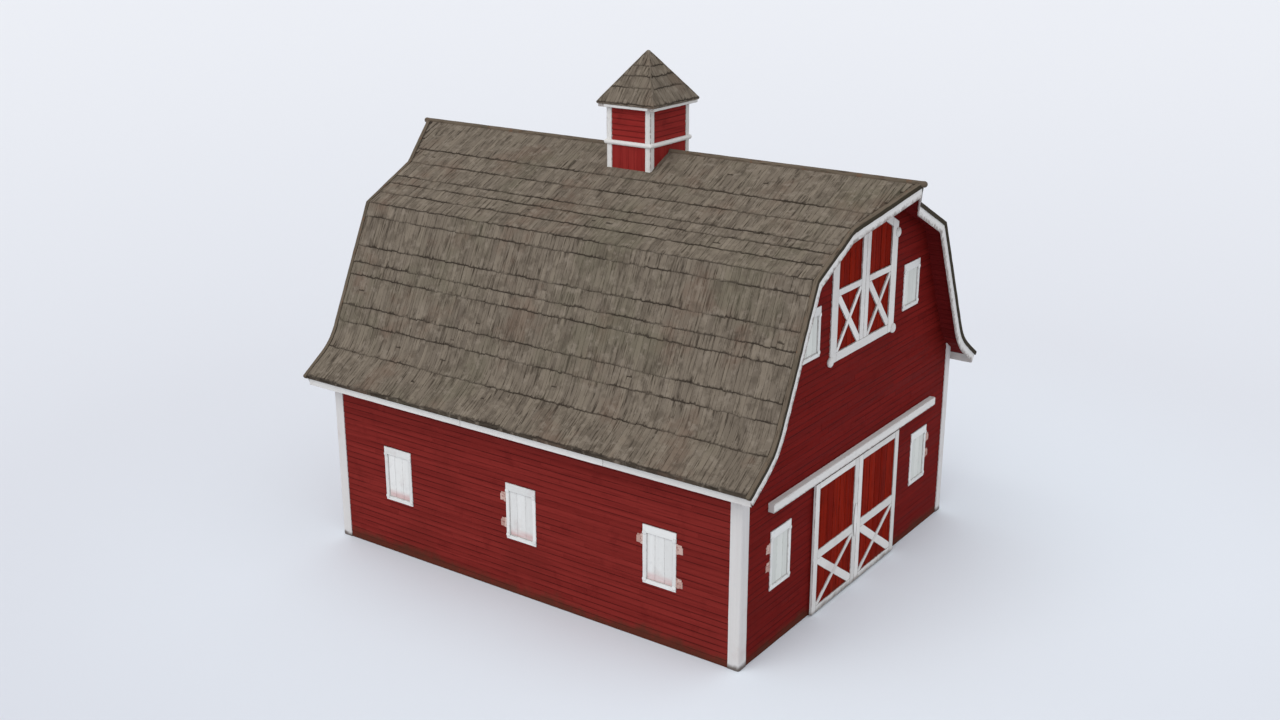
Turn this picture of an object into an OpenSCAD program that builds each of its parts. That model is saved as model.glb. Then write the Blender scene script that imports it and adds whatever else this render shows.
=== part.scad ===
// Gambrel barn with hay hoods, a pair of sliding doors and a cupola.
// Millimetres, +Z up. The origin is on the ground in the middle of the plan.
// The front gable faces -Y, the ridge runs along Y.

/* [Plan] */
// Width across the gable, over the siding
wall_w = 10000; // [9600:10:12000]
// Length along the ridge, over the siding
wall_l = 11600; // [9700:10:14000]
// Thickness of the outer walls
wall_t = 160; // [120:5:220]
// Thickness of the ground floor slab
floor_t = 60; // [40:5:150]

/* [Roof] */
// Height of the ridge
ridge_z = 9660; // [8900:10:10400]
// Height of the break between the two slopes
break_z = 8115; // [7700:10:8400]
// Run of the lower roof, from the break out to the eave edge
lower_run = 2400; // [2200:10:2700]
// Overhang of the eave beyond the side wall
eave_out = 500; // [420:10:620]
// Height of the roof surface at the eave edge
eave_z = 4304; // [4200:10:4500]
// Slope of the lower roof, degrees
steep_deg = 64.8; // [63:0.1:68]
// Slope of the flared eave, degrees
flare_deg = 34; // [30:0.5:38]
// Radius of the flare
flare_r = 1460; // [900:10:1700]
// Thickness of the shingles
shingle_t = 80; // [50:5:100]
// Thickness of the roof boards under the shingles
deck_t = 60; // [40:5:80]
// Overhang of the roof at the gables
rake_out = 510; // [400:10:650]
// Reach of the hay hood beyond the gable overhang
hood_out = 750; // [600:10:900]
// Half width of the hay hood at its foot
hood_half = 1580; // [1300:10:1800]
// Radius of the ridge roll
ridge_roll_r = 70; // [50:5:90]

/* [Roof trim] */
// Width of the rake roll along the gable edges
roll_w = 110; // [80:5:150]
// Height of the rake roll above the shingles
roll_up = 25; // [15:5:40]
// Reach of the rake roll and the ridge roll past the shingles
roll_past = 80; // [60:5:110]
// Depth of the white bargeboards
barge_h = 200; // [150:5:240]
// Thickness of the bargeboards and the eave fascia
barge_t = 35; // [25:1:45]
// Setback of the bargeboards from the roof edge
barge_in = 30; // [20:1:45]
// Setback of the eave fascia from the eave edge
fascia_in = 80; // [60:5:110]
// Width of a corner board on each wall
corner_w = 250; // [180:5:300]
// Thickness of the corner boards
corner_t = 30; // [20:1:40]
// Radius of the corner boards' outer edge
corner_r = 22; // [10:1:28]

/* [Windows] */
// Width of a ground floor shutter
shutter_w = 860; // [720:5:1000]
// Height of a ground floor shutter
shutter_h = 1380; // [1150:5:1600]
// Height of the bottom of the ground floor shutters
shutter_z = 1370; // [1100:10:1500]
// Height of a loft shutter
loft_shutter_h = 1120; // [950:5:1250]
// Width of a loft shutter
loft_shutter_w = 830; // [700:5:880]
// Height of the bottom of the loft shutters
loft_shutter_z = 6140; // [6000:10:6300]
// Spacing of the side wall windows
side_pitch = 3800; // [3100:10:4200]
// Distance of the gable's ground floor windows from the corner
gable_window_in = 1600; // [1300:10:1800]
// Gap from a loft shutter's upper corner out to the roof boards
loft_window_gap = 512; // [350:1:540]
// Thickness of a shutter frame
frame_t = 30; // [20:1:34]
// Thickness of a shutter panel
panel_t = 40; // [25:1:60]
// Lap of a frame over the siding around its hole
frame_lap = 60; // [40:5:75]
// Width of a shutter's side and bottom members
member_w = 95; // [80:1:120]
// Height of a shutter's head member
head_h = 190; // [150:5:220]
// Radius of the corner buttons
button_r = 38; // [25:1:45]
// Reach of the corner buttons from the siding
button_t = 40; // [36:1:44]

/* [Sliding doors] */
// Half width of the doorway
doorway_half = 1950; // [1650:10:2340]
// Height of the doorway
doorway_z = 3120; // [2600:10:3700]
// Lap of a closed leaf over the wall beside the doorway
leaf_lap = 100; // [60:5:140]
// Gap between the closed leaves
leaf_gap = 6; // [6:1:12]
// Gap under the leaves
leaf_z = 30; // [20:1:50]
// Lap of a leaf over the doorway's head
leaf_rise = 80; // [50:5:120]
// Distance of a leaf's back from the siding
leaf_back = 50; // [50:1:60]
// Thickness of a leaf's boards
board_t = 40; // [30:1:45]
// Thickness of the white rails and braces on a leaf
rail_t = 20; // [15:1:25]
// Width of a leaf's stiles
stile_w = 190; // [140:5:220]
// Height of a leaf's bottom rail
bottom_rail_h = 150; // [110:5:200]
// Height of a leaf's middle rail
mid_rail_h = 220; // [150:5:260]
// Height of the middle rail's lower edge
mid_rail_z = 1350; // [1150:10:1500]
// Width of the broad braces
broad_brace = 200; // [150:5:220]
// Width of the narrow braces
narrow_brace = 120; // [90:5:150]
// Width, height and thickness of the pull
pull_size = [120, 830, 30];
// Height of the pull's lower end
pull_z = 1230; // [1000:10:1400]

/* [Door track] */
// Reach of the cover past twice the doorway's half width
cover_past = 60; // [20:10:200]
// Gap from a leaf's top edge up to the cover
cover_gap = 60; // [20:5:80]
// Height of the cover
cover_h = 200; // [190:5:240]
// Reach of the cover from the siding
cover_out = 155; // [145:5:180]
// Thickness of the cover's boards
cover_t = 25; // [15:1:25]
// Height of the track rail's upper edge above the leaves
track_up = 140; // [125:5:145]
// Height of the track rail
track_h = 45; // [30:1:50]
// Thickness of the track rail
track_t = 10; // [6:1:12]
// Radius of a trolley wheel
wheel_r = 32; // [25:1:35]
// Running clearance of a trolley wheel over the track
wheel_gap = 0.3; // [0.2:0.1:0.5]

/* [Hay doors] */
// Half width over the hay door's frame
hay_half = 1540; // [1300:10:1560]
// Height of the bottom of the hay door
hay_z = 5810; // [5800:10:5950]
// Gap between the frame's peaked head and the roof boards, measured upright
hay_gap = 346; // [200:2:450]
// Thickness of the hay door's frame
hay_frame_t = 35; // [25:1:45]
// Width of the outer stiles
hay_stile_w = 290; // [220:5:320]
// Width of the double middle stile
hay_centre_w = 370; // [300:5:400]
// Height of the bottom rail
hay_bottom_h = 210; // [150:5:240]
// Height of the middle rail
hay_mid_h = 150; // [120:5:200]
// Height of the middle rail's lower edge
hay_mid_z = 7280; // [7100:10:7400]
// Width of the broad braces
hay_broad = 170; // [130:5:200]
// Width of the narrow braces
hay_narrow = 110; // [80:5:140]
// Radius of the rounded corner blocks
hay_knob_r = 92; // [70:1:100]
// Reach of the corner blocks from the siding
hay_knob_t = 75; // [55:1:90]
// Place of the blocks: in from the side, up from the bottom, down from the side's top
hay_knob_at = [30, 60, 250];

/* [Loft] */
// Thickness of the loft's boards
loft_board_t = 50; // [35:5:60]
// Width and depth of the joists
joist_size = [60, 150];
// Number of joists
joists = 9; // [7:1:11]
// Width and depth of the cross beams
beam_size = [200, 250];
// Side of the square posts
post_w = 180; // [150:5:220]
// Distance of the post rows from the middle
post_x = 2400; // [2300:10:2600]
// Spacing of the frames along the building
bay = 3000; // [2500:10:3400]

/* [Cupola] */
// Half width across the ridge, over the corner boards
cupola_x = 810; // [680:5:960]
// Half width along the ridge, over the corner boards
cupola_y = 630; // [530:5:760]
// Height of the top of the walls
cupola_top = 10690; // [10500:10:10900]
// Height of the band's middle
band_z = 9875; // [9820:5:9950]
// Radius of the half round band
band_r = 55; // [40:1:65]
// Width of the corner boards
cupola_corner_w = 140; // [110:5:170]
// Thickness of the corner boards
cupola_corner_t = 20; // [12:1:30]
// Thickness of the walls
cupola_wall_t = 60; // [40:5:80]
// Height of the white fascia
cupola_fascia_h = 80; // [60:5:110]
// Overhang of the roof across the ridge and along it
cupola_eave = [140, 180];
// Setback of the fascia from the roof's edge
cupola_fascia_in = 30; // [20:1:45]
// Thickness of the roof's edge
cupola_edge_h = 40; // [25:5:60]
// Height of the peak
peak_z = 11940; // [11700:10:12200]
// Thickness of the roof's slopes, measured upright
cupola_roof_t = 70; // [50:5:90]

/* [Hidden] */

$fn = 48;
red = "#7a2020";
door_red = "#8c2015";
white = "#dcdcd8";
roof_grey = "#6e675d";
timber = "#8a6f4d";
steel = "#55585a";

half_w = wall_w / 2;
half_l = wall_l / 2;
arc_steps = 6;

// ---- Roof outline: offset d lies below the shingle surface ----
eave_x = half_w + eave_out;
break_x = eave_x - lower_run;
upper_deg = atan2(ridge_z - break_z, break_x);
turn_deg = steep_deg - flare_deg;
// Distance from the break down to the corner that the flare rounds off
to_corner = ((break_z - eave_z) * cos(flare_deg) - lower_run * sin(flare_deg)) / sin(turn_deg);
arc_start = to_corner - flare_r * tan(turn_deg / 2);
arc_mid = [
  break_x + arc_start * cos(steep_deg) + flare_r * sin(steep_deg),
  break_z - arc_start * sin(steep_deg) + flare_r * cos(steep_deg)
];

function ridge_at(d) = [0, ridge_z - d / cos(upper_deg)];
function break_at(d) = [
  break_x - d * (sin(upper_deg) + sin(steep_deg)) / (1 + cos(steep_deg - upper_deg)),
  break_z - d * (cos(upper_deg) + cos(steep_deg)) / (1 + cos(steep_deg - upper_deg))
];
function flare_at(d) = [
  for (i = [0:arc_steps])
    let (a = steep_deg - turn_deg * i / arc_steps)
      arc_mid - (flare_r + d) * [sin(a), cos(a)]
];
// Height of the flared part's surface at x, at offset d
function eave_height(d, x) =
  eave_z - d / cos(flare_deg) + (eave_x - x) * tan(flare_deg);
// Every outline runs on to the same far point, so that layers share their surfaces exactly
function lower_outline(d) =
  concat([break_at(d)], flare_at(d), [[roof_reach, eave_height(d, roof_reach)]]);
function outline(d) = concat([ridge_at(d)], lower_outline(d));
function reversed(list) = [for (i = [len(list) - 1:-1:0]) list[i]];
function band_of(upper, lower) = concat(upper, reversed(lower));

// ---- Plan outline of the roof, inset by e ----
rake_y = half_l + rake_out;
hood_deg = atan2(hood_out, hood_half);
function tip_y(e) = rake_y + hood_out - e / cos(hood_deg);
function hood_foot(e) = (tip_y(e) - rake_y + e) / tan(hood_deg);
function plan_edge(e, x_end) = [[0, tip_y(e)], [hood_foot(e), rake_y - e], [x_end, rake_y - e]];
function flip_y(list) = [for (p = list) [p[0], -p[1]]];
function plan_half(e, x_end) = concat(plan_edge(e, x_end), reversed(flip_y(plan_edge(e, x_end))));

under_d = shingle_t + deck_t;
barge_d = shingle_t + barge_h;
fascia_x = eave_x - fascia_in;
barge_inner = barge_in + barge_t;
roll_end_x = eave_x + roll_past;
// Limits past every piece of the roof, for cutting
roof_reach = roll_end_x + 100;
roof_top = peak_z + 100;

// Stands an X-Z outline up and runs it along Y, centred
module along_y(length) rotate([90, 0, 0]) linear_extrude(length, center = true) children();

// Stands a wall outline up: x along the wall, y up, from depth v0 to v1 behind the siding
module upright(v0, v1) translate([0, v1, 0]) rotate([90, 0, 0]) linear_extrude(v1 - v0) children();

// A place on an outer wall: local +X along it, -Y outwards
module at_front(x = 0, z = 0) translate([x, -half_l, z]) children();
module at_back(x = 0, z = 0) rotate(180) translate([x, -half_l, z]) children();
module at_left(y = 0, z = 0) rotate(-90) translate([y, -half_w, z]) children();
module at_right(y = 0, z = 0) rotate(90) translate([y, -half_w, z]) children();

// Right half of a roof layer with a given outline, inset e from the gable edges, ending at x_end
module roof_layer(points, e, x_end) intersection() {
  along_y(2 * (rake_y + hood_out + 10)) polygon(points);
  linear_extrude(roof_top) polygon(plan_half(e, x_end));
}

// Outline of what lies under offset d, right half
function under_outline(d) = concat(outline(d), [[roof_reach, 0], [0, 0]]);

// Everything that lies under offset d, over a given length
module under_roof(d, length) for (s = [0, 1]) mirror([s, 0, 0])
  along_y(length) polygon(under_outline(d));

// ---- Walls ----
ground_hole = [shutter_w - 2 * frame_lap, shutter_h - 2 * frame_lap];
loft_hole = [loft_shutter_w - 2 * frame_lap, loft_shutter_h - 2 * frame_lap];
side_places = [-side_pitch, 0, side_pitch];

module hole_2d(x, z, hole) translate([x - hole[0] / 2, z + frame_lap]) square(hole);

module side_wall_solid() difference() {
  intersection() {
    translate([-half_w, -half_l, 0]) cube([wall_t, wall_l, break_z]);
    under_roof(under_d, wall_l + 10);
  }
  at_left() upright(-1, wall_t + 1) for (y = side_places) hole_2d(y, shutter_z, ground_hole);
}

gable_half = half_w - wall_t;
gable_window_x = half_w - gable_window_in;
// Half width between the roof boards at a height on the steep slope
function steep_half(z) = break_at(under_d)[0] + (break_at(under_d)[1] - z) / tan(steep_deg);
loft_window_x = steep_half(loft_shutter_z + loft_shutter_h) - loft_shutter_w / 2 - loft_window_gap;
// Outline of the gable between two heights, inside the side walls
module gable_2d(z0, z1) intersection() {
  translate([-gable_half, z0]) square([2 * gable_half, z1 - z0]);
  for (s = [0, 1]) mirror([s, 0]) polygon(under_outline(under_d));
}

// The head runs parallel to the upper roof
hay_rise = hay_half * tan(upper_deg);
hay_side_z = ridge_at(under_d)[1] - hay_rise - hay_gap;
module hay_outline_2d(inset) {
  w = hay_half - inset;
  top = hay_side_z - inset;
  polygon([
    [-w, hay_z + inset], [w, hay_z + inset], [w, top],
    [0, top + hay_rise], [-w, top]
  ]);
}

module loft_holes_2d() {
  hay_outline_2d(frame_lap);
  for (s = [-1, 1]) hole_2d(s * loft_window_x, loft_shutter_z, loft_hole);
}

module gable_solid(z0) upright(0, wall_t) difference() {
  gable_2d(z0, ridge_z);
  loft_holes_2d();
}

module front_wall_solid() upright(0, wall_t) difference() {
  translate([doorway_half, 0]) square([gable_half - doorway_half, doorway_z]);
  hole_2d(gable_window_x, shutter_z, ground_hole);
}

module ground_floor() color("#8d8a84") linear_extrude(floor_t) {
  square([2 * gable_half, wall_l - 2 * wall_t], center = true);
  translate([-doorway_half, -half_l]) square([2 * doorway_half, 2 * wall_t]);
}
module left_wall() color(red) side_wall_solid();
module right_wall() color(red) mirror([1, 0, 0]) side_wall_solid();
module front_wall_right() color(red) at_front() front_wall_solid();
module front_wall_left() color(red) mirror([1, 0, 0]) at_front() front_wall_solid();
module front_gable() color(red) at_front() gable_solid(doorway_z);
module back_gable() color(red) at_back() gable_solid(doorway_z);
module back_wall() color(red) at_back() upright(0, wall_t) difference() {
  translate([-gable_half, 0]) square([2 * gable_half, doorway_z]);
  for (s = [-1, 1]) hole_2d(s * gable_window_x, shutter_z, ground_hole);
}

// ---- Loft ----
loft_z = hay_z - 30;
joist_z = loft_z - loft_board_t - joist_size[1];
beam_z = joist_z - beam_size[1];
inside_l = wall_l - 2 * wall_t;
frame_places = [-bay, 0, bay];
loft_half = steep_half(loft_z);
joist_pitch = 2 * loft_half / (joists + 1);

module loft_floor() color(timber) intersection() {
  translate([-half_w, -inside_l / 2, loft_z - loft_board_t]) cube([wall_w, inside_l, loft_board_t]);
  under_roof(under_d, wall_l);
}
module loft_joists() color(timber) for (i = [1:joists])
  translate([-loft_half + i * joist_pitch - joist_size[0] / 2, -inside_l / 2, joist_z])
    cube([joist_size[0], inside_l, joist_size[1]]);
module loft_beams() color(timber) intersection() {
  for (y = frame_places) translate([-half_w, y - beam_size[0] / 2, beam_z])
    cube([wall_w, beam_size[0], beam_size[1]]);
  under_roof(under_d, wall_l);
}
module loft_posts() color(timber) for (y = frame_places, s = [-1, 1])
  translate([s * post_x - post_w / 2, y - post_w / 2, floor_t])
    cube([post_w, post_w, beam_z - floor_t]);

// ---- Roof ----
module deck_half() roof_layer(
  band_of(outline(shingle_t), outline(under_d)), barge_inner, fascia_x - barge_t);
module upper_half() roof_layer(
  [ridge_at(0), break_at(0), break_at(shingle_t), ridge_at(shingle_t)], roll_w, eave_x);
module lower_half() roof_layer(
  band_of(lower_outline(0), lower_outline(shingle_t)), roll_w, eave_x);
// Keeps only the strip between the gable edges and an inset of e
module edge_strip(e) difference() {
  children();
  translate([0, 0, -1]) linear_extrude(roof_top + 2) polygon(plan_half(e, roof_reach + 1));
}
module rake_roll_half() edge_strip(roll_w)
  roof_layer(band_of(outline(-roll_up), outline(shingle_t)), 0, roll_end_x);
module bargeboard_half() edge_strip(barge_inner)
  roof_layer(band_of(outline(shingle_t), outline(barge_d)), barge_in, fascia_x);

module roof_deck_left() color(red) mirror([1, 0, 0]) deck_half();
module roof_deck_right() color(red) deck_half();
module upper_shingles_left() color(roof_grey) mirror([1, 0, 0]) upper_half();
module upper_shingles_right() color(roof_grey) upper_half();
module lower_shingles_left() color(roof_grey) mirror([1, 0, 0]) lower_half();
module lower_shingles_right() color(roof_grey) lower_half();
module rake_rolls_left() color("#5f4a3c") mirror([1, 0, 0]) rake_roll_half();
module rake_rolls_right() color("#5f4a3c") rake_roll_half();
module bargeboards_left() color(white) mirror([1, 0, 0]) bargeboard_half();
module bargeboards_right() color(white) bargeboard_half();

// The ridge roll straddles the ridge and stops at the cupola and at the rake rolls
roll_mid_z = ridge_z - 20;
module ridge_roll() color("#5f564c") for (s = [0, 1]) mirror([0, s, 0]) difference() {
  union() {
    translate([0, cupola_y, roll_mid_z]) rotate([-90, 0, 0])
      cylinder(r = ridge_roll_r, h = tip_y(0) + roll_past - ridge_roll_r - cupola_y);
    translate([0, tip_y(0) + roll_past - ridge_roll_r, roll_mid_z]) sphere(ridge_roll_r);
  }
  under_roof(0, 2 * rake_y);
  for (t = [0, 1]) mirror([t, 0, 0])
    roof_layer(band_of(outline(-roll_up), outline(barge_d)), 0, roof_reach);
}

fascia_l = 2 * (rake_y - barge_inner);
fascia_z = eave_height(barge_d, fascia_x);
module eave_fascia() color(white) intersection() {
  for (s = [0, 1]) mirror([s, 0, 0]) translate([fascia_x - barge_t, -fascia_l / 2, fascia_z])
    cube([barge_t, fascia_l, 2 * barge_h]);
  under_roof(shingle_t, fascia_l);
}

module corner_2d() difference() {
  hull() {
    translate([-corner_t, 0]) square([corner_w + corner_t, corner_w]);
    translate([0, -corner_t]) square([corner_w, corner_w + corner_t]);
    translate([corner_r - corner_t, corner_r - corner_t]) circle(corner_r);
  }
  square(2 * corner_w);
}
module corner_boards() color(white) intersection() {
  for (s = [0, 1], t = [0, 1]) mirror([s, 0, 0]) mirror([0, t, 0])
    translate([-half_w, -half_l, 0]) linear_extrude(break_z) corner_2d();
  under_roof(under_d, wall_l + 4 * corner_t);
}

// ---- Shutters ----
module shutter_panel(x, z, hole) upright(0, panel_t) hole_2d(x, z, hole);

// Inner opening of a shutter frame
module frame_opening_2d(w, h) translate([member_w - w / 2, member_w])
  square([w - 2 * member_w, h - member_w - head_h]);
module shutter_frame(x, z, w, h) translate([x, 0, z]) {
  upright(-frame_t, 0) difference() {
    translate([-w / 2, 0]) square([w, h]);
    frame_opening_2d(w, h);
  }
  for (s = [-1, 1], v = [member_w, h - head_h])
    translate([s * (w / 2 - member_w / 2), 0, v]) rotate([90, 0, 0])
      cylinder(r = button_r, h = button_t);
}

module side_shutter_panels() color(white) for (y = side_places) {
  at_left() shutter_panel(y, shutter_z, ground_hole);
  at_right() shutter_panel(y, shutter_z, ground_hole);
}
module side_shutter_frames() color(white) for (y = side_places) {
  at_left() shutter_frame(y, shutter_z, shutter_w, shutter_h);
  at_right() shutter_frame(y, shutter_z, shutter_w, shutter_h);
}
module gable_panels() for (s = [-1, 1]) {
  shutter_panel(s * gable_window_x, shutter_z, ground_hole);
  shutter_panel(s * loft_window_x, loft_shutter_z, loft_hole);
}
module gable_frames() for (s = [-1, 1]) {
  shutter_frame(s * gable_window_x, shutter_z, shutter_w, shutter_h);
  shutter_frame(s * loft_window_x, loft_shutter_z, loft_shutter_w, loft_shutter_h);
}
module gable_shutter_panels() color("#b9bec6") {
  at_front() gable_panels();
  at_back() gable_panels();
}
module gable_shutter_frames() color(white) {
  at_front() gable_frames();
  at_back() gable_frames();
}

// Old hinge leaves left beside some of the shutters
hinge_size = [150, 8, 220];
upper_hinge = shutter_h - 360;
middle_hinge = 600;
low_hinge = 230;
module hinge_leaf(x, side, up) translate([
  x + (side > 0 ? shutter_w / 2 : -shutter_w / 2 - hinge_size[0]),
  -hinge_size[1], shutter_z + up - hinge_size[2] / 2
]) cube(hinge_size);
module shutter_hinges() color("#b98f88") {
  at_left() {
    hinge_leaf(0, -1, upper_hinge);
    hinge_leaf(0, -1, low_hinge + 150);
    hinge_leaf(side_pitch, -1, upper_hinge);
    hinge_leaf(side_pitch, 1, upper_hinge);
    hinge_leaf(side_pitch, 1, low_hinge);
  }
  at_front() for (s = [-1, 1]) {
    hinge_leaf(s * gable_window_x, s, upper_hinge);
    hinge_leaf(s * gable_window_x, s, middle_hinge);
  }
}

// ---- Battens that cross a bay between two corners ----
module brace_2d(x0, z0, x1, z1, width) intersection() {
  translate([min(x0, x1), min(z0, z1)]) square([abs(x1 - x0), abs(z1 - z0)]);
  translate([(x0 + x1) / 2, (z0 + z1) / 2]) rotate(atan2(z1 - z0, x1 - x0))
    square([2 * norm([x1 - x0, z1 - z0]), width], center = true);
}
module cross_2d(x0, x1, z0, z1, broad, narrow) {
  brace_2d(x0, z1, x1, z0, broad);
  brace_2d(x0, z0, x1, z1, narrow);
}

// ---- Hay doors, fixed, under both hoods ----
hay_head_z = hay_side_z + hay_rise;
hay_inner = hay_half - hay_stile_w;
module hay_frame_2d() {
  inner_z = hay_z + hay_bottom_h;
  inner_head_z = hay_head_z - hay_bottom_h;
  inner_side_z = inner_head_z - hay_inner * tan(upper_deg);
  difference() {
    hay_outline_2d(0);
    polygon([
      [-hay_inner, inner_z], [hay_inner, inner_z], [hay_inner, inner_side_z],
      [0, inner_head_z], [-hay_inner, inner_side_z]
    ]);
  }
  translate([-hay_centre_w / 2, hay_z]) square([hay_centre_w, inner_head_z - hay_z]);
  translate([-hay_half, hay_mid_z]) square([2 * hay_half, hay_mid_h]);
  for (x = [-hay_inner, hay_centre_w / 2]) translate([x, 0])
    cross_2d(0, hay_inner - hay_centre_w / 2, inner_z, hay_mid_z, hay_broad, hay_narrow);
}
module hay_frame() {
  upright(-hay_frame_t, 0) hay_frame_2d();
  for (s = [-1, 1], z = [hay_z + hay_knob_at[1], hay_side_z - hay_knob_at[2]])
    translate([s * (hay_half - hay_knob_at[0]), 0, z]) rotate([90, 0, 0])
      cylinder(r = hay_knob_r, h = hay_knob_t);
}
module hay_door_boards() color(door_red) {
  at_front() upright(0, panel_t) hay_outline_2d(frame_lap);
  at_back() upright(0, panel_t) hay_outline_2d(frame_lap);
}
module hay_door_frames() color(white) {
  at_front() hay_frame();
  at_back() hay_frame();
}

// ---- Sliding doors ----
leaf_w = doorway_half + leaf_lap - leaf_gap / 2;
leaf_top = doorway_z + leaf_rise;
leaf_h = leaf_top - leaf_z;
rail_front = leaf_back + board_t + rail_t;
// Left edge of each closed leaf
left_x = -leaf_gap / 2 - leaf_w;
right_x = leaf_gap / 2;

module leaf_boards(x) at_front(x) upright(-leaf_back - board_t, -leaf_back)
  translate([0, leaf_z]) square([leaf_w, leaf_h]);
module leaf_frame_2d() {
  inner_w = leaf_w - 2 * stile_w;
  for (x = [0, leaf_w - stile_w]) translate([x, leaf_z]) square([stile_w, leaf_h]);
  translate([0, leaf_z]) square([leaf_w, bottom_rail_h]);
  translate([0, mid_rail_z]) square([leaf_w, mid_rail_h]);
  translate([0, leaf_top - bottom_rail_h]) square([leaf_w, bottom_rail_h]);
  translate([stile_w, 0])
    cross_2d(0, inner_w, leaf_z + bottom_rail_h, mid_rail_z, broad_brace, narrow_brace);
}
module leaf_frame(x) at_front(x)
  upright(-rail_front, -leaf_back - board_t) leaf_frame_2d();

module left_door_boards() color(door_red) leaf_boards(left_x);
module left_door_frame() color(white) leaf_frame(left_x);
module right_door_boards() color(door_red) leaf_boards(right_x);
module right_door_frame() color(white) leaf_frame(right_x);
module door_pull() color(white)
  at_front(-stile_w / 2 - leaf_gap / 2 - pull_size[0] / 2, pull_z)
    translate([0, -rail_front - pull_size[2], 0])
      cube([pull_size[0], pull_size[2], pull_size[1]]);

// ---- Track, trolleys and cover ----
track_v = leaf_back + board_t / 2;
track_z = leaf_top + track_up;
cover_z = leaf_top + cover_gap;
cover_half = 2 * doorway_half + cover_past;
module track_cover() color(white) at_front() difference() {
  translate([-cover_half, -cover_out, cover_z]) cube([2 * cover_half, cover_out, cover_h]);
  translate([cover_t - cover_half, cover_t - cover_out, cover_z - 1])
    cube([2 * (cover_half - cover_t), cover_out, cover_h - cover_t + 1]);
}

track_half = cover_half - cover_t - 10;
stand_off_r = 12;
stand_offs = 7;
module door_track() color(steel) at_front() {
  translate([-track_half, -track_v - track_t / 2, track_z - track_h])
    cube([2 * track_half, track_t, track_h]);
  for (i = [0:stand_offs - 1])
    translate([(2 * i / (stand_offs - 1) - 1) * (track_half - 60), 0, track_z - track_h / 2])
      rotate([90, 0, 0]) cylinder(r = stand_off_r, h = track_v);
}

hanger_in = 300;
hanger_w = 60;
hanger_plate = 6;
wheel_t = 24;
wheel_z = track_z + wheel_r + wheel_gap;
// Front of the trolley wheel and of the hanger's plate, from the siding
wheel_front = track_v + wheel_t / 2;
plate_front = wheel_front + hanger_plate;
module hanger(x) translate([x, 0, 0]) {
  translate([0, -wheel_front, wheel_z]) rotate([-90, 0, 0]) cylinder(r = wheel_r, h = wheel_t);
  translate([-hanger_w / 2, -plate_front, leaf_top])
    cube([hanger_w, hanger_plate, wheel_z + wheel_r / 2 - leaf_top]);
  translate([-hanger_w, -plate_front, leaf_top])
    cube([2 * hanger_w, plate_front - leaf_back, hanger_plate]);
}
module leaf_hangers(x) at_front(x) for (u = [hanger_in, leaf_w - hanger_in]) hanger(u);
module left_door_hangers() color(steel) leaf_hangers(left_x);
module right_door_hangers() color(steel) leaf_hangers(right_x);

// ---- Cupola ----
module block(x, y, z0, z1) translate([-x, -y, z0]) cube([2 * x, 2 * y, z1 - z0]);
module over_roof() difference() {
  children();
  under_roof(0, 4 * cupola_y);
}
cupola_base = break_z;
wall_x = cupola_x - cupola_corner_t;
wall_y = cupola_y - cupola_corner_t;
eave_half = [cupola_x + cupola_eave[0], cupola_y + cupola_eave[1]];
cupola_eave_z = cupola_top + cupola_fascia_h;
pyramid_z = cupola_eave_z + cupola_edge_h;

module cupola_walls() color(red) over_roof() difference() {
  block(wall_x, wall_y, cupola_base, cupola_top);
  block(wall_x - cupola_wall_t, wall_y - cupola_wall_t, cupola_base - 1, cupola_top + 1);
}
module cupola_corner_boards() color(white) over_roof()
  for (s = [0, 1], t = [0, 1]) mirror([s, 0, 0]) mirror([0, t, 0]) difference() {
    translate([cupola_x - cupola_corner_w, cupola_y - cupola_corner_w, cupola_base])
      cube([cupola_corner_w, cupola_corner_w, cupola_top - cupola_base]);
    block(wall_x, wall_y, cupola_base - 1, cupola_top + 1);
  }
module cupola_band() color(white) difference() {
  union() {
    for (s = [-1, 1]) {
      translate([s * cupola_x, 0, band_z]) rotate([90, 0, 0])
        cylinder(r = band_r, h = 2 * cupola_y, center = true);
      translate([0, s * cupola_y, band_z]) rotate([0, 90, 0])
        cylinder(r = band_r, h = 2 * cupola_x, center = true);
      for (t = [-1, 1]) translate([s * cupola_x, t * cupola_y, band_z]) sphere(band_r);
    }
  }
  block(cupola_x, cupola_y, band_z - 2 * band_r, band_z + 2 * band_r);
}
module cupola_fascia() color(white) difference() {
  block(eave_half[0] - cupola_fascia_in, eave_half[1] - cupola_fascia_in, cupola_top, cupola_eave_z);
  block(wall_x - cupola_wall_t, wall_y - cupola_wall_t, cupola_top - 1, cupola_eave_z + 1);
}
// Four slopes from a rectangle of half sizes x, y at height z to the middle at height top
module pyramid(x, y, z, top) intersection() {
  along_y(4 * y) polygon([[-x, z], [x, z], [0, top]]);
  rotate(90) along_y(4 * x) polygon([[-y, z], [y, z], [0, top]]);
}
module cupola_roof() color(roof_grey) difference() {
  union() {
    pyramid(eave_half[0], eave_half[1], pyramid_z, peak_z);
    block(eave_half[0], eave_half[1], cupola_eave_z, pyramid_z);
  }
  intersection() {
    block(wall_x - cupola_wall_t, wall_y - cupola_wall_t, cupola_eave_z - 1, peak_z);
    translate([0, 0, -cupola_roof_t - cupola_edge_h])
      pyramid(eave_half[0], eave_half[1], pyramid_z, peak_z);
  }
}

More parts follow.
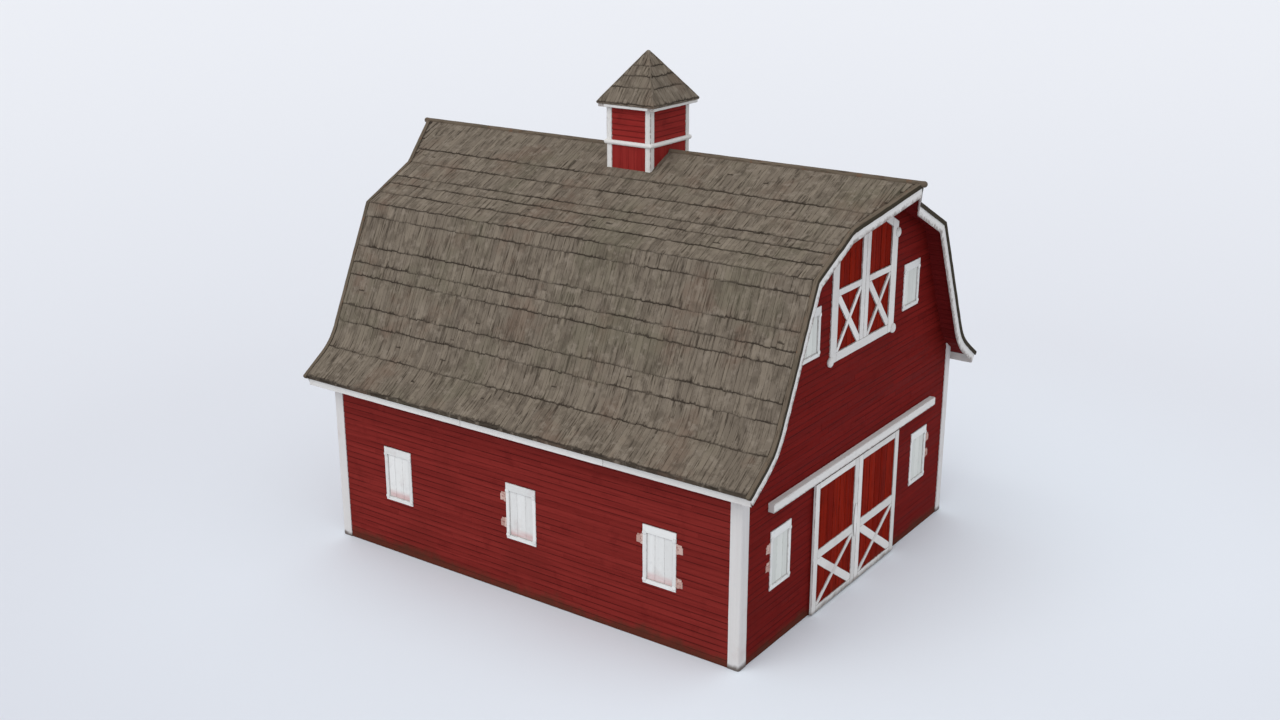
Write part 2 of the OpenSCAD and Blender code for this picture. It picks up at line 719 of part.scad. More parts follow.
ground_floor();
left_wall();
right_wall();
front_wall_left();
front_wall_right();
front_gable();
back_wall();
back_gable();
loft_floor();
loft_joists();
loft_beams();
loft_posts();
roof_deck_left();
roof_deck_right();
upper_shingles_left();
upper_shingles_right();
lower_shingles_left();
lower_shingles_right();
rake_rolls_left();
rake_rolls_right();
ridge_roll();
bargeboards_left();
bargeboards_right();
eave_fascia();
corner_boards();
side_shutter_panels();
side_shutter_frames();
gable_shutter_panels();
gable_shutter_frames();
shutter_hinges();
hay_door_boards();
hay_door_frames();
track_cover();
door_track();
left_door_boards();
left_door_frame();
left_door_hangers();
door_pull();
right_door_boards();
right_door_frame();
right_door_hangers();
cupola_walls();
cupola_corner_boards();
cupola_band();
cupola_fascia();
cupola_roof();
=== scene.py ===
import random
from functools import lru_cache
from itertools import accumulate
from math import atan2, cos, dist, exp, hypot, pi, radians, sin, tan

import bmesh
import bpy
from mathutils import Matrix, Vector


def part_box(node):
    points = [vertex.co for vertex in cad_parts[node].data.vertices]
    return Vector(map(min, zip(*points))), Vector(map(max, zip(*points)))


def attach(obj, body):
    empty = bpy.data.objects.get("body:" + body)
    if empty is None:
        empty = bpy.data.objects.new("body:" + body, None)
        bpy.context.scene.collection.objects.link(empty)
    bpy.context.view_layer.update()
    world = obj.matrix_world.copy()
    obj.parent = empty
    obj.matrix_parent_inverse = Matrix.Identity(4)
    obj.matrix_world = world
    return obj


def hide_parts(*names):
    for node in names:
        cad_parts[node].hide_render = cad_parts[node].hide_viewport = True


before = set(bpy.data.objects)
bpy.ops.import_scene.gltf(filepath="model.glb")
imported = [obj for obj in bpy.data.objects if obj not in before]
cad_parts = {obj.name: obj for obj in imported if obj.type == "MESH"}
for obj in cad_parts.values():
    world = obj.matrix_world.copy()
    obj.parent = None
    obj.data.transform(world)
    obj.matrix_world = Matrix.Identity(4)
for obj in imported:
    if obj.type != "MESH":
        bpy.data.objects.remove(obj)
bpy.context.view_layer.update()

rng = random.Random(41)

SIDES = (-1, 1)
EACH_CORNER = [(sx, sy) for sx in SIDES for sy in SIDES]
ROUND_CORNERS = ((1, 1), (-1, 1), (-1, -1), (1, -1))
UPRIGHT = pi / 2
NO_EDGE = 9.0

# ---- sizes of the part, as in part.scad
HALF_W = -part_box("left_wall")[0].x
HALF_L = -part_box("left_wall")[0].y
WALL_T = 0.16
FLOOR_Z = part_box("ground_floor")[1].z
RIDGE_Z = 9.66
BREAK = (3.1, 8.115)
EAVE = (HALF_W + 0.5, 4.304)
STEEP = radians(64.8)
FLARE = radians(34)
FLARE_R = 1.46
ARC_STEPS = 12
UPPER = atan2(RIDGE_Z - BREAK[1], BREAK[0])
SHINGLE_T = 0.08
UNDER_D = 0.14
RAKE_Y = HALF_L + 0.51
HOOD_OUT = 0.75
HOOD_RUN = 1.58
HOOD = atan2(HOOD_OUT, HOOD_RUN)
ROLL_W = 0.11
ROLL_PAST = 0.08
BARGE_IN = 0.03
BARGE_T = 0.035
FASCIA_X = EAVE[0] - 0.08
CORNER_W = 0.25
CORNER_T = 0.03
CORNER_R = 0.045
LAP = 0.145


# ---- roof outline
def flare_start():
    """How far down the steep slope the flare's arc starts, from the break."""
    fall = BREAK[1] - EAVE[1]
    run = EAVE[0] - BREAK[0]
    corner = (fall * cos(FLARE) - run * sin(FLARE)) / sin(STEEP - FLARE)
    return corner - FLARE_R * tan((STEEP - FLARE) / 2)


ARC_START = flare_start()
ARC_X = BREAK[0] + ARC_START * cos(STEEP) + FLARE_R * sin(STEEP)
ARC_Z = BREAK[1] - ARC_START * sin(STEEP) + FLARE_R * cos(STEEP)


@lru_cache(None)
def key_points(d):
    """Corners of the roof outline at depth d under the shingle surface, from ridge to eave."""
    mitre = 1 + cos(STEEP - UPPER)
    x = BREAK[0] - d * (sin(UPPER) + sin(STEEP)) / mitre
    z = BREAK[1] - d * (cos(UPPER) + cos(STEEP)) / mitre
    found = [(0.0, RIDGE_Z - d / cos(UPPER)), (x, z)]
    for i in range(ARC_STEPS + 1):
        a = STEEP - (STEEP - FLARE) * i / ARC_STEPS
        found.append((ARC_X - (FLARE_R + d) * sin(a), ARC_Z - (FLARE_R + d) * cos(a)))
    return found + [(EAVE[0] - d * sin(FLARE), EAVE[1] - d * cos(FLARE))]


UNDER = key_points(UNDER_D)
SLOPE = list(accumulate(map(dist, key_points(0.0), key_points(0.0)[1:]), initial=0.0))
S_BREAK = SLOPE[1]
S_ARC = SLOPE[2]
S_EAVE = SLOPE[-1]


def between(p, q, t):
    return p[0] + (q[0] - p[0]) * t, p[1] + (q[1] - p[1]) * t


def surf(s, d):
    """x and z of the roof, s metres down the slope from the ridge and d under its surface."""
    points = key_points(round(d, 4))
    i = 0
    while i < len(SLOPE) - 2 and s > SLOPE[i + 1]:
        i += 1
    return between(points[i], points[i + 1], (s - SLOPE[i]) / (SLOPE[i + 1] - SLOPE[i]))


def edge_y(e, x):
    """Where the roof ends over x, at the gable edge inset by e, with the hood's point."""
    return max(RAKE_Y - e, RAKE_Y + HOOD_OUT - e / cos(HOOD) - abs(x) * tan(HOOD))


def under_x(z):
    """Half width between the roof boards at height z."""
    for p, q in zip(UNDER, UNDER[1:]):
        if q[1] <= z <= p[1]:
            return p[0] + (q[0] - p[0]) * (p[1] - z) / (p[1] - q[1])
    return 0.0 if z > UNDER[0][1] else UNDER[-1][0]


def under_z(x):
    """Height of the roof boards' underside over x."""
    for p, q in zip(UNDER, UNDER[1:]):
        if p[0] <= abs(x) <= q[0]:
            return p[1] + (q[1] - p[1]) * (abs(x) - p[0]) / (q[0] - p[0])
    return UNDER[-1][1]


# ---- meshes
class Mesh:
    """Collects boards and strips. Every vertex keeps its place in the grain and its look:
    the board's own tint, how dark its edges turn (scuffs, and painted shade), and how far it lies
    from the lower edge that takes the painted shade line (on shutter panels, from a stain's foot)."""

    def __init__(self):
        self.co = []
        self.faces = []
        self.grain = []
        self.look = []

    def loft(self, rings, loop=False):
        """rings hold (point, grain, look). Neighbours are joined, and the ends closed or joined."""
        n = len(rings[0])
        first = [len(self.co) + n * i for i in range(len(rings))]
        for ring in rings:
            for point, grain, look in ring:
                self.co.append(tuple(point))
                self.grain += grain
                self.look += look
        pairs = list(zip(first, first[1:]))
        if loop:
            pairs.append((first[-1], first[0]))
        for a, b in pairs:
            for i in range(n):
                j = (i + 1) % n
                self.faces.append((a + i, a + j, b + j, b + i))
        if not loop:
            self.faces.append(tuple(first[0] + i for i in reversed(range(n))))
            self.faces.append(tuple(first[-1] + i for i in range(n)))

    def build(self, name, material, slot, nodes=(), body="barn", sharp=38):
        """Makes the object, lets it ride on its body and stand for the CAD nodes it redraws."""
        mesh = bpy.data.meshes.new(name)
        mesh.from_pydata(self.co, [], self.faces)
        for title, values in (("grain", self.grain), ("look", self.look)):
            layer = mesh.attributes.new(title, "FLOAT_VECTOR", "POINT")
            layer.data.foreach_set("vector", values)
        bm = bmesh.new()
        bm.from_mesh(mesh)
        bmesh.ops.recalc_face_normals(bm, faces=bm.faces)
        for f in bm.faces:
            f.smooth = True
        for e in bm.edges:
            e.smooth = e.calc_face_angle(3.0) < radians(sharp)
        bm.to_mesh(mesh)
        bm.free()
        piece = bpy.data.objects.new(name, mesh)
        bpy.context.scene.collection.objects.link(piece)
        mesh.materials.append(material)
        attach(piece, body)
        if nodes:
            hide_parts(*nodes)


def walls(x, y):
    """Puts (along, up, out) on the front, back, left and right of a box of half sizes x and y."""
    return (
        lambda u, v, w: Vector((u, -y - w, v)),
        lambda u, v, w: Vector((-u, y + w, v)),
        lambda u, v, w: Vector((-x - w, -u, v)),
        lambda u, v, w: Vector((x + w, u, v)),
    )


on_front, on_back, on_left, on_right = walls(HALF_W, HALF_L)


def circle(n):
    return [2 * pi * i / n for i in range(n)]


def rect(x0, x1, z0, z1):
    return [(x0, z0), (x1, z0), (x1, z1), (x0, z1)]


def area_of(poly):
    return sum(a[0] * b[1] - b[0] * a[1] for a, b in zip(poly, poly[1:] + poly[:1])) / 2


def cut(poly, a, b, c):
    """Keeps the part of a convex outline where a*x + b*y <= c."""
    kept = []
    for p, q in zip(poly, poly[1:] + poly[:1]):
        dp = a * p[0] + b * p[1] - c
        dq = a * q[0] + b * q[1] - c
        if dp <= 0:
            kept.append(p)
        if dp * dq < 0:
            kept.append(between(p, q, dp / (dp - dq)))
    return kept


def inset(poly, e):
    """Moves every side of an outline, given anticlockwise, inwards by e."""
    moved = []
    for i, corner in enumerate(poly):
        p = Vector(corner)
        before = (p - Vector(poly[i - 1])).normalized()
        after = (Vector(poly[(i + 1) % len(poly)]) - p).normalized()
        n0 = Vector((-before.y, before.x))
        n1 = Vector((-after.y, after.x))
        moved.append(tuple(p + (n0 + n1) * (e / max(0.3, 1 + n0.dot(n1)))))
    return moved


def waver(poly, step, amount):
    """Breaks long sides up and shifts the new points a little, as on hand-cut boards."""
    found = []
    for p, q in zip(poly, poly[1:] + poly[:1]):
        found.append(p)
        long = dist(p, q)
        parts = int(long / step)
        for i in range(1, parts):
            x, z = between(p, q, i / parts)
            off = rng.uniform(-amount, amount)
            found.append((x + (q[1] - p[1]) / long * off, z + (p[0] - q[0]) / long * off))
    return found


def slab(m, poly, place, front, thick, r=0.006, turn=0.0, wave=0.0, step=0.22, rim=0.014,
         foot=None, wear_and_shade_share=1.0):
    """A board with a convex outline. Its face stands `front` out, and its edges are rounded.
    foot is the height from which a stain rises on it, and the share after it scales how dark its edges turn,
    partly scuffs and partly painted shade."""
    if area_of(poly) < 0:
        poly = poly[::-1]
    if wave:
        poly = waver(poly, step, wave)
    tint = rng.random()
    shift = (rng.uniform(0, 60), rng.uniform(0, 60), rng.uniform(0, 9))
    ca = cos(turn)
    sa = sin(turn)
    rings = []
    for e, w, wear_and_shade in (
        (r * 0.6, front - thick, 0.6), (0, front - thick + r * 0.6, 1.0), (0, front - r, 1.0),
        (r * 0.3, front - r * 0.3, 1.0), (r, front, 0.8), (r + rim, front, 0.0),
    ):
        ring = []
        for u, v in inset(poly, e):
            grain = (u * ca + v * sa + shift[0], v * ca - u * sa + shift[1], w + shift[2])
            rise = NO_EDGE if foot is None else v - foot
            ring.append((place(u, v, w), grain, (tint, wear_and_shade * wear_and_shade_share, rise)))
        rings.append(ring)
    m.loft(rings)


def strip(x0, x1, z0, z1, width, rising):
    """Outline of a batten from corner to corner of a bay, cut to the bay, and its direction."""
    turn = atan2(z1 - z0, x1 - x0) * rising
    c = cos(turn)
    s = sin(turn)
    level = -s * ((x0 + x1) / 2) + c * ((z0 + z1) / 2)
    poly = cut(rect(x0, x1, z0, z1), -s, c, level + width / 2)
    return cut(poly, s, -c, -level + width / 2), turn


def dome(m, place, u, v, w0, r, reach, n=20, foot_shade=1.7):
    """A rounded button with a soft shoulder and painted shade round its foot, standing from w0 out to reach.
    """
    tint = rng.random()
    shift = rng.uniform(0, 40)
    shape = [(0.96, 0.0), (1.0, 0.15), (1.0, 0.45)]
    for k in range(1, 7):
        a = radians(90 * k / 6.5)
        shape.append((cos(a), 0.45 + 0.55 * sin(a)))
    rings = []
    for share, up in shape:
        ring = []
        for a in circle(n):
            x = u + r * share * cos(a)
            z = v + r * share * sin(a)
            # Painted shade: the button's foot takes the dark edge colour, fading up its side.
            look = (tint, foot_shade - 2.0 * up, NO_EDGE)
            ring.append((place(x, z, w0 + (reach - w0) * up), (x + shift, z, up), look))
        rings.append(ring)
    m.loft(rings)


# ---- materials
def add(tree, kind, props=None, **inputs):
    """A node with its inputs, named or numbered: a socket is linked, anything else is set."""
    node = tree.nodes.new("ShaderNode" + kind)
    for key, value in (props or {}).items():
        setattr(node, key, value)
    for key, value in inputs.items():
        spot = node.inputs[int(key[1:]) if key[1:].isdigit() else key]
        if isinstance(value, bpy.types.NodeSocket):
            tree.links.new(value, spot)
        else:
            spot.default_value = value
    return node


def rgb(colour):
    """A colour given as it looks on screen, 0 to 255, as a linear one."""
    found = []
    for c in colour:
        c = c / 255
        found.append(c / 12.92 if c < 0.04045 else ((c + 0.055) / 1.055) ** 2.4)
    return (*found, 1.0)


def mix(tree, fac, a, b):
    return add(tree, "Mix", {"data_type": "RGBA"}, i0=fac, i6=a, i7=b).outputs[2]


def calc(tree, how, a, b):
    return add(tree, "Math", {"operation": how}, i0=a, i1=b).outputs[0]


def ramp(tree, value, lo, hi, to_lo=0.0, to_hi=1.0):
    """Maps value from lo..hi to to_lo..to_hi, smoothly and clamped."""
    props = {"interpolation_type": "SMOOTHSTEP"}
    return add(tree, "MapRange", props, i0=value, i1=lo, i2=hi, i3=to_lo, i4=to_hi).outputs[0]


def noise(tree, vector, scale, detail=4.0, rough=0.55, stretch=None):
    if stretch:
        vector = add(tree, "Mapping", Vector=vector, Scale=stretch).outputs[0]
    return add(tree, "TexNoise", Vector=vector, Scale=scale, Detail=detail, Roughness=rough).outputs[0]


def finish(
    name, low, high, streak, grain=(1.6, 42.0), streaks=(0.54, 0.70, 0.5), blotches=(), worn=None,
    dirt=None, rough=(0.55, 0.8), bump=0.002, along=None, tip=None, fine=0.5, metallic=0.0,
    gloss=0.08, weave=5.0, ticks=0.0,
):
    """One procedural finish, with colours 0 to 255. low and high are the boards' colours, streak
    the colour of the grain lines, blotches (colour, metres, from, to, share), then the edge colour
    (colour, from, to), which darkens edges, partly as scuffed paint and partly as painted shade,
    dirt (colour, height, share) from the ground up, tip (colour, share, metres), a painted shade line
    along lower edges (a real stain rising from the foot on shutter panels), and ticks how far dark
    ticks, as joints, run up from those.
    along names the axis the grain follows on a CAD node, which has no grain of its own."""
    mat = bpy.data.materials.new(name)
    mat.use_nodes = True
    tree = mat.node_tree
    tree.nodes.clear()
    place = add(tree, "TexCoord").outputs["Object"]
    if along is None:
        lines = add(tree, "Attribute", {"attribute_name": "grain"}).outputs["Vector"]
        look = add(tree, "Attribute", {"attribute_name": "look"}).outputs["Vector"]
        tint, wear_and_shade, end = add(tree, "SeparateXYZ", i0=look).outputs
        stretch = (grain[0], grain[1], grain[1])
    else:
        lines = place
        tint = noise(tree, place, 0.9, 2.0)
        wear_and_shade = None
        end = None
        stretch = tuple(grain[0] if axis == along else grain[1] for axis in "xyz")
    fibre = noise(tree, lines, 1.0, weave, 0.6, stretch)
    coarse = noise(tree, lines, 1.0, 3.0, 0.55, tuple(s * 0.3 for s in stretch))
    blend = calc(tree, "ADD", calc(tree, "MULTIPLY", tint, 1 - fine), calc(tree, "MULTIPLY", coarse, fine))
    colour = mix(tree, ramp(tree, blend, 0.2, 0.8), rgb(low), rgb(high))
    colour = mix(tree, ramp(tree, fibre, streaks[0], streaks[1], 0.0, streaks[2]), colour, rgb(streak))
    for i, (shade, size, start, stop, share) in enumerate(blotches):
        cloud = noise(tree, place, 1 / size, 5.0, 0.62, (1.0 + 0.13 * i, 1.0, 1.0 - 0.07 * i))
        colour = mix(tree, ramp(tree, cloud, start, stop, 0.0, share), colour, rgb(shade))
    # Painted shade: a dark line along the lower edge of each clapboard and shake, standing for the shadow
    # under the lap; ticks stretch it up in spots as dark joints. On shutter panels the same mark is a real
    # pink stain rising from the foot.
    if tip and end is not None:
        broken = ramp(tree, noise(tree, place, 1.0, 4.0, 0.6, (0.9, 0.9, 5.0)), 0.36, 0.58, 0.25, 1.0)
        if ticks:
            spots = noise(tree, lines, 1.0, 2.0, 0.5, (0.9, 13.0, 13.0))
            end = calc(tree, "DIVIDE", end, ramp(tree, spots, 0.49, 0.70, 0.8, ticks))
        edge = ramp(tree, end, tip[2], tip[2] * 0.25)
        butt_shade_and_stain = calc(tree, "MULTIPLY", calc(tree, "MULTIPLY", edge, broken), tip[1])
        colour = mix(tree, butt_shade_and_stain, colour, rgb(tip[0]))
    # The edge colour darkens edges, partly scuffed paint and partly painted shade along trim edges, in the
    # beads, round the buttons' feet and on the rolls' outer faces.
    if worn and wear_and_shade is not None:
        rubbed_and_shaded = calc(tree, "MULTIPLY", wear_and_shade, noise(tree, lines, 1.0, 5.0, 0.7, (9.0, 40.0, 40.0)))
        colour = mix(tree, ramp(tree, rubbed_and_shaded, worn[1], worn[2]), colour, rgb(worn[0]))
    if dirt:
        height = add(tree, "SeparateXYZ", i0=place).outputs[2]
        level = calc(tree, "MULTIPLY", noise(tree, place, 1.7, 5.0, 0.65), dirt[1] * 2)
        low_down = ramp(tree, calc(tree, "SUBTRACT", level, height), 0.0, dirt[1] * 0.9, 0.0, dirt[2])
        colour = mix(tree, low_down, colour, rgb(dirt[0]))
    bumps = calc(tree, "ADD", fibre, calc(tree, "MULTIPLY", noise(tree, place, 14.0, 4.0), 0.25))
    relief = add(tree, "Bump", Strength=0.8, Distance=bump, Height=bumps)
    shader = add(tree, "BsdfPrincipled")
    tree.links.new(colour, shader.inputs["Base Color"])
    tree.links.new(ramp(tree, coarse, 0.3, 0.7, rough[0], rough[1]), shader.inputs["Roughness"])
    tree.links.new(relief.outputs[0], shader.inputs["Normal"])
    shader.inputs["Metallic"].default_value = metallic
    shader.inputs["Specular IOR Level"].default_value = gloss
    tree.links.new(shader.outputs[0], add(tree, "OutputMaterial").inputs[0])
    return mat


BROWN_DIRT = (74, 48, 36)
# tip paints a dark line of shade along each clapboard's lower edge; the edge colour darkens edges, partly
# scuffed paint and partly painted shade.
RED = dict(
    grain=(0.9, 30.0), streaks=(0.50, 0.72, 0.5), worn=((84, 30, 26), 0.52, 0.75), fine=0.84,
    blotches=[((104, 34, 30), 1.9, 0.5, 0.7, 0.4), ((92, 24, 24), 0.5, 0.55, 0.72, 0.35)],
    tip=((58, 16, 16), 0.85, 0.030), dirt=(BROWN_DIRT, 0.34, 0.75), rough=(0.5, 0.75), bump=0.0016,
    gloss=0.015,
)
# The white paints' grey edge colour is partly scuffed paint and partly painted shade along the trims' edges.
WHITE = dict(
    streak=(176, 172, 168), grain=(1.4, 46.0), streaks=(0.58, 0.8, 0.3), rough=(0.5, 0.72),
    blotches=[((196, 184, 180), 0.7, 0.56, 0.74, 0.4), ((205, 205, 204), 0.18, 0.55, 0.7, 0.35)],
    worn=((160, 150, 146), 0.34, 0.66), dirt=((112, 98, 88), 0.16, 0.8), bump=0.0018,
)
# tip paints a dark line of shade along each shake's butt, and ticks run it up in spots as dark joints; the
# edge colour darkens the shakes' sides and, on the rolls, the outer faces as painted shade.
WEATHERED = dict(
    grain=(2.0, 17.0), streaks=(0.50, 0.70, 0.85), weave=3.0, ticks=2.3, rough=(0.8, 0.95),
    blotches=[
        ((110, 89, 76), 1.3, 0.50, 0.66, 0.42), ((101, 97, 80), 2.3, 0.50, 0.66, 0.4),
        ((84, 75, 65), 0.30, 0.50, 0.64, 0.5), ((138, 127, 114), 0.24, 0.52, 0.68, 0.6),
    ],
    worn=((62, 54, 46), 0.30, 0.46), tip=((46, 39, 32), 0.85, 0.045), bump=0.006, fine=0.80,
)


def paint(name, base, low, high, **more):
    """A finish that starts from a base and changes what `more` names."""
    return finish(name, low, high, **{**base, **more})


SIDING = paint("siding_paint", RED, (113, 34, 31), (133, 45, 41), streak=(92, 25, 24))
# The gables' paint is the long walls' red made darker, since the gables face away from the key light: painted
# shade.
SIDING_GABLE_SHADED = paint(
    "siding_gable_shaded_paint", RED, (102, 22, 20), (119, 30, 27), streak=(80, 16, 15),
    blotches=[((98, 26, 22), 1.9, 0.5, 0.7, 0.4), ((84, 18, 17), 0.5, 0.55, 0.72, 0.35)],
)
SIDING_BACK = paint("siding_plain", RED, (92, 26, 26), (110, 32, 30), streak=(66, 18, 18), along="y")
# A lighter painted shade line along the cupola clapboards' lower edges.
CUPOLA_RED = paint(
    "cupola_paint", RED, (134, 38, 36), (152, 50, 46), streak=(104, 26, 26), dirt=None,
    tip=((70, 20, 20), 0.65, 0.030),
)
DOOR_RED = paint(
    "door_paint", RED, (116, 20, 8), (136, 29, 12), streak=(80, 12, 6), dirt=(BROWN_DIRT, 0.3, 0.6),
    tip=None, fine=0.6, streaks=(0.5, 0.66, 0.7), worn=((62, 14, 9), 0.40, 0.62),
    blotches=[((108, 22, 10), 1.2, 0.5, 0.7, 0.5), ((88, 14, 8), 0.35, 0.55, 0.72, 0.4)],
)
SOFFIT = paint("soffit_paint", RED, (96, 24, 24), (112, 30, 30), streak=(62, 14, 16), dirt=None)
SOFFIT_BACK = paint(
    "soffit_plain", RED, (86, 22, 22), (98, 26, 26), streak=(56, 14, 14), dirt=None, along="y"
)
TRIM = paint(
    "trim_paint", WHITE, (213, 211, 208), (228, 226, 223), worn=((150, 141, 136), 0.30, 0.56)
)
PULL_PAINT = paint("pull_paint", WHITE, (228, 227, 225), (240, 239, 238), blotches=(), dirt=None)
# A dark paint for a wider copy of the pull behind the grip: painted shade round it.
PULL_SHADOW = paint("pull_shadow_paint", WHITE, (96, 89, 84), (120, 113, 108), dirt=None)
POST_PAINT = paint(
    "post_paint", WHITE, (199, 196, 194), (214, 211, 209), worn=((150, 141, 136), 0.36, 0.66),
    dirt=((84, 72, 64), 0.15, 0.9),
)
SHUTTER_WHITE = paint(
    "shutter_paint", WHITE, (218, 218, 216), (231, 231, 229), worn=((158, 152, 148), 0.42, 0.70),
    tip=((206, 168, 166), 0.8, 0.24),
)
SHUTTER_GREY = paint(
    "shutter_grey_paint", WHITE, (208, 210, 205), (222, 224, 219), worn=((158, 156, 152), 0.42, 0.70)
)
OLD_PAINT = finish(
    "old_paint", (184, 148, 138), (206, 178, 168), (140, 84, 78), grain=(8.0, 20.0),
    streaks=(0.54, 0.66, 0.6), blotches=[((132, 66, 60), 0.07, 0.54, 0.66, 0.7)],
    worn=((122, 72, 64), 0.46, 0.66),
)
SHAKES = paint("shake_wood", WEATHERED, (105, 95, 84), (131, 120, 106), streak=(54, 46, 38))
SHAKES_UNDER = paint(
    "shake_under", WEATHERED, (60, 52, 45), (76, 68, 58), streak=(38, 32, 27), along="y", tip=None
)
# The rolls' edge colour is also their painted shade on the outer face.
ROLL = paint(
    "roll_wood", WEATHERED, (96, 85, 73), (114, 102, 88), streak=(66, 56, 47), grain=(3.0, 24.0),
    worn=((60, 54, 44), 0.34, 0.58), tip=None,
    blotches=[((114, 82, 62), 0.16, 0.58, 0.68, 0.6), ((84, 80, 66), 0.9, 0.5, 0.68, 0.5)],
)
TIMBER = finish(
    "timber_wood", (116, 90, 60), (146, 116, 80), (82, 60, 40), grain=(1.2, 30.0),
    blotches=[((100, 80, 60), 1.2, 0.5, 0.7, 0.4)], worn=((92, 70, 50), 0.5, 0.8), rough=(0.65, 0.85),
)
TIMBER_CAD = {
    axis: finish(
        "timber_cad_" + axis, (112, 86, 58), (142, 112, 78), (78, 58, 38), grain=(1.2, 26.0),
        along=axis, rough=(0.65, 0.85), fine=0.6,
    )
    for axis in "xyz"
}
CONCRETE = finish(
    "concrete", (128, 126, 120), (150, 147, 140), (104, 102, 98), grain=(9.0, 9.0),
    streaks=(0.55, 0.75, 0.5), blotches=[((112, 104, 94), 1.6, 0.5, 0.68, 0.5)],
    along="x", rough=(0.75, 0.92), bump=0.003,
)
STEEL = finish(
    "track_steel", (74, 76, 79), (98, 100, 103), (60, 52, 46), grain=(4.0, 60.0),
    blotches=[((96, 62, 44), 0.12, 0.58, 0.7, 0.7)], along="x", rough=(0.4, 0.65), bump=0.0006,
    metallic=0.7, gloss=0.5,
)


# ---- siding
def gaps_left(lo, hi, holes):
    """What is left of lo..hi once the holes' spans are taken out."""
    left = [(lo, hi)]
    for a, b in holes:
        kept = []
        for p, q in left:
            if b <= p or a >= q:
                kept.append((p, q))
                continue
            if a > p:
                kept.append((p, a))
            if b < q:
                kept.append((b, q))
        left = kept
    return left


def clapboard(m, place, limit, z0, z1, base, course, u0, u1):
    """One length of clapboard between heights z0 and z1 of the course that starts at base."""
    def depth(z):
        return 0.003 + 0.0125 * max(0.0, base + course - z) / course

    side = limit(z1)
    if min(u1, side[1]) - max(u0, side[0]) < 0.04:
        return
    top = z1 + (0.006 if z1 >= base + course - 1e-4 else 0.0)
    profile = [
        (z0, -0.004, 1.0), (z0, depth(z0) - 0.003, 1.0), (z0 + 0.003, depth(z0), 1.0),
        (z0 + 0.02, depth(z0 + 0.02), 0.2), (top, depth(z1), 0.0), (top, -0.004, 0.0),
    ]
    if z1 - z0 < 0.03:
        profile.pop(3)
    tint = rng.random()
    shift = (rng.uniform(0, 90), rng.uniform(0, 90))
    phase = rng.uniform(0, 6.3)
    parts = max(1, round((u1 - u0) / 0.45))
    rings = []
    for i in range(parts + 1):
        ring = []
        for z, w, wear_and_shade in profile:
            side = limit(z)
            lo = max(u0, side[0])
            u = lo + (min(u1, side[1]) - lo) * i / parts
            bend = 0.0016 * sin(u * 1.9 + phase) + 0.0009 * sin(u * 5.3 + 2 * phase)
            dz = bend if 0 < i < parts else 0.0
            co = place(u, z + dz, w + (0.7 * bend if w > 0 else 0.0))
            # The last look value, height over the board's lower edge, places the painted shade line there.
            ring.append((co, (u + shift[0], z + shift[1], w), (tint, wear_and_shade * 0.4, z - base)))
        rings.append(ring)
    m.loft(rings)


def siding(m, place, z_low, z_high, limit, holes, lap=LAP, board=(2.6, 4.4)):
    """Courses of clapboards up a wall. limit(z) gives its sides and holes are (u0, u1, z0, z1)."""
    z = z_low
    while z < z_high - 0.02:
        top = min(z + lap, z_high)
        marks = {z, top}
        for hole in holes:
            marks |= {edge for edge in hole[2:] if z + 0.008 < edge < top - 0.008}
        marks = sorted(marks)
        lo, hi = limit(z)
        joints = []
        at = lo + rng.uniform(0.8, board[1])
        while at < hi - 0.7:
            joints.append(at)
            at += rng.uniform(*board)
        for z0, z1 in zip(marks, marks[1:]):
            spans = [(h[0], h[1]) for h in holes if h[2] < (z0 + z1) / 2 < h[3]]
            for a, b in gaps_left(*limit(z0), spans):
                stops = [a] + [j for j in joints if a + 0.15 < j < b - 0.15] + [b]
                for u0, u1 in zip(stops, stops[1:]):
                    clapboard(m, place, limit, z0, z1, z, top - z, u0 + 0.001, u1 - 0.001)
        z = top


SHUTTER = (0.86, 1.38)
SHUTTER_Z = 1.37
LOFT_SHUTTER = (0.83, 1.12)
LOFT_SHUTTER_Z = 6.14
SIDE_PLACES = (-3.8, 0.0, 3.8)
GABLE_X = 3.4
LOFT_X = 2.42
HAY_HALF = 1.54
HAY_Z = 5.81
HAY_SLOPE = tan(UPPER)
HAY_HEAD = UNDER[0][1] - 0.346
DOORWAY_HALF = 1.95
DOORWAY_Z = 3.12
HOLE_LAP = 0.03


def window_hole(x, z, size):
    half = size[0] / 2 - HOLE_LAP
    return x - half, x + half, z + HOLE_LAP, z + size[1] - HOLE_LAP


def gable_limit(z):
    half = min(HALF_W - CORNER_W + 0.001, under_x(z) - 0.004)
    return -half, half


def side_limit(z):
    half = HALF_L - CORNER_W + 0.001
    return -half, half


def gable_holes():
    """Holes for the shutters and, in steps up its sloping head, for the hay door."""
    found = []
    for x, z, size in ((GABLE_X, SHUTTER_Z, SHUTTER), (LOFT_X, LOFT_SHUTTER_Z, LOFT_SHUTTER)):
        found += [window_hole(s * x, z, size) for s in SIDES]
    edge = HAY_HALF - HOLE_LAP
    z = HAY_HEAD - HAY_HALF * HAY_SLOPE - HOLE_LAP
    found.append((-edge, edge, HAY_Z + HOLE_LAP, z))
    while z < HAY_HEAD - 0.12:
        half = min(edge, (HAY_HEAD - 0.1 - z) / HAY_SLOPE)
        found.append((-half, half, z, z + 0.05))
        z += 0.05
    return found


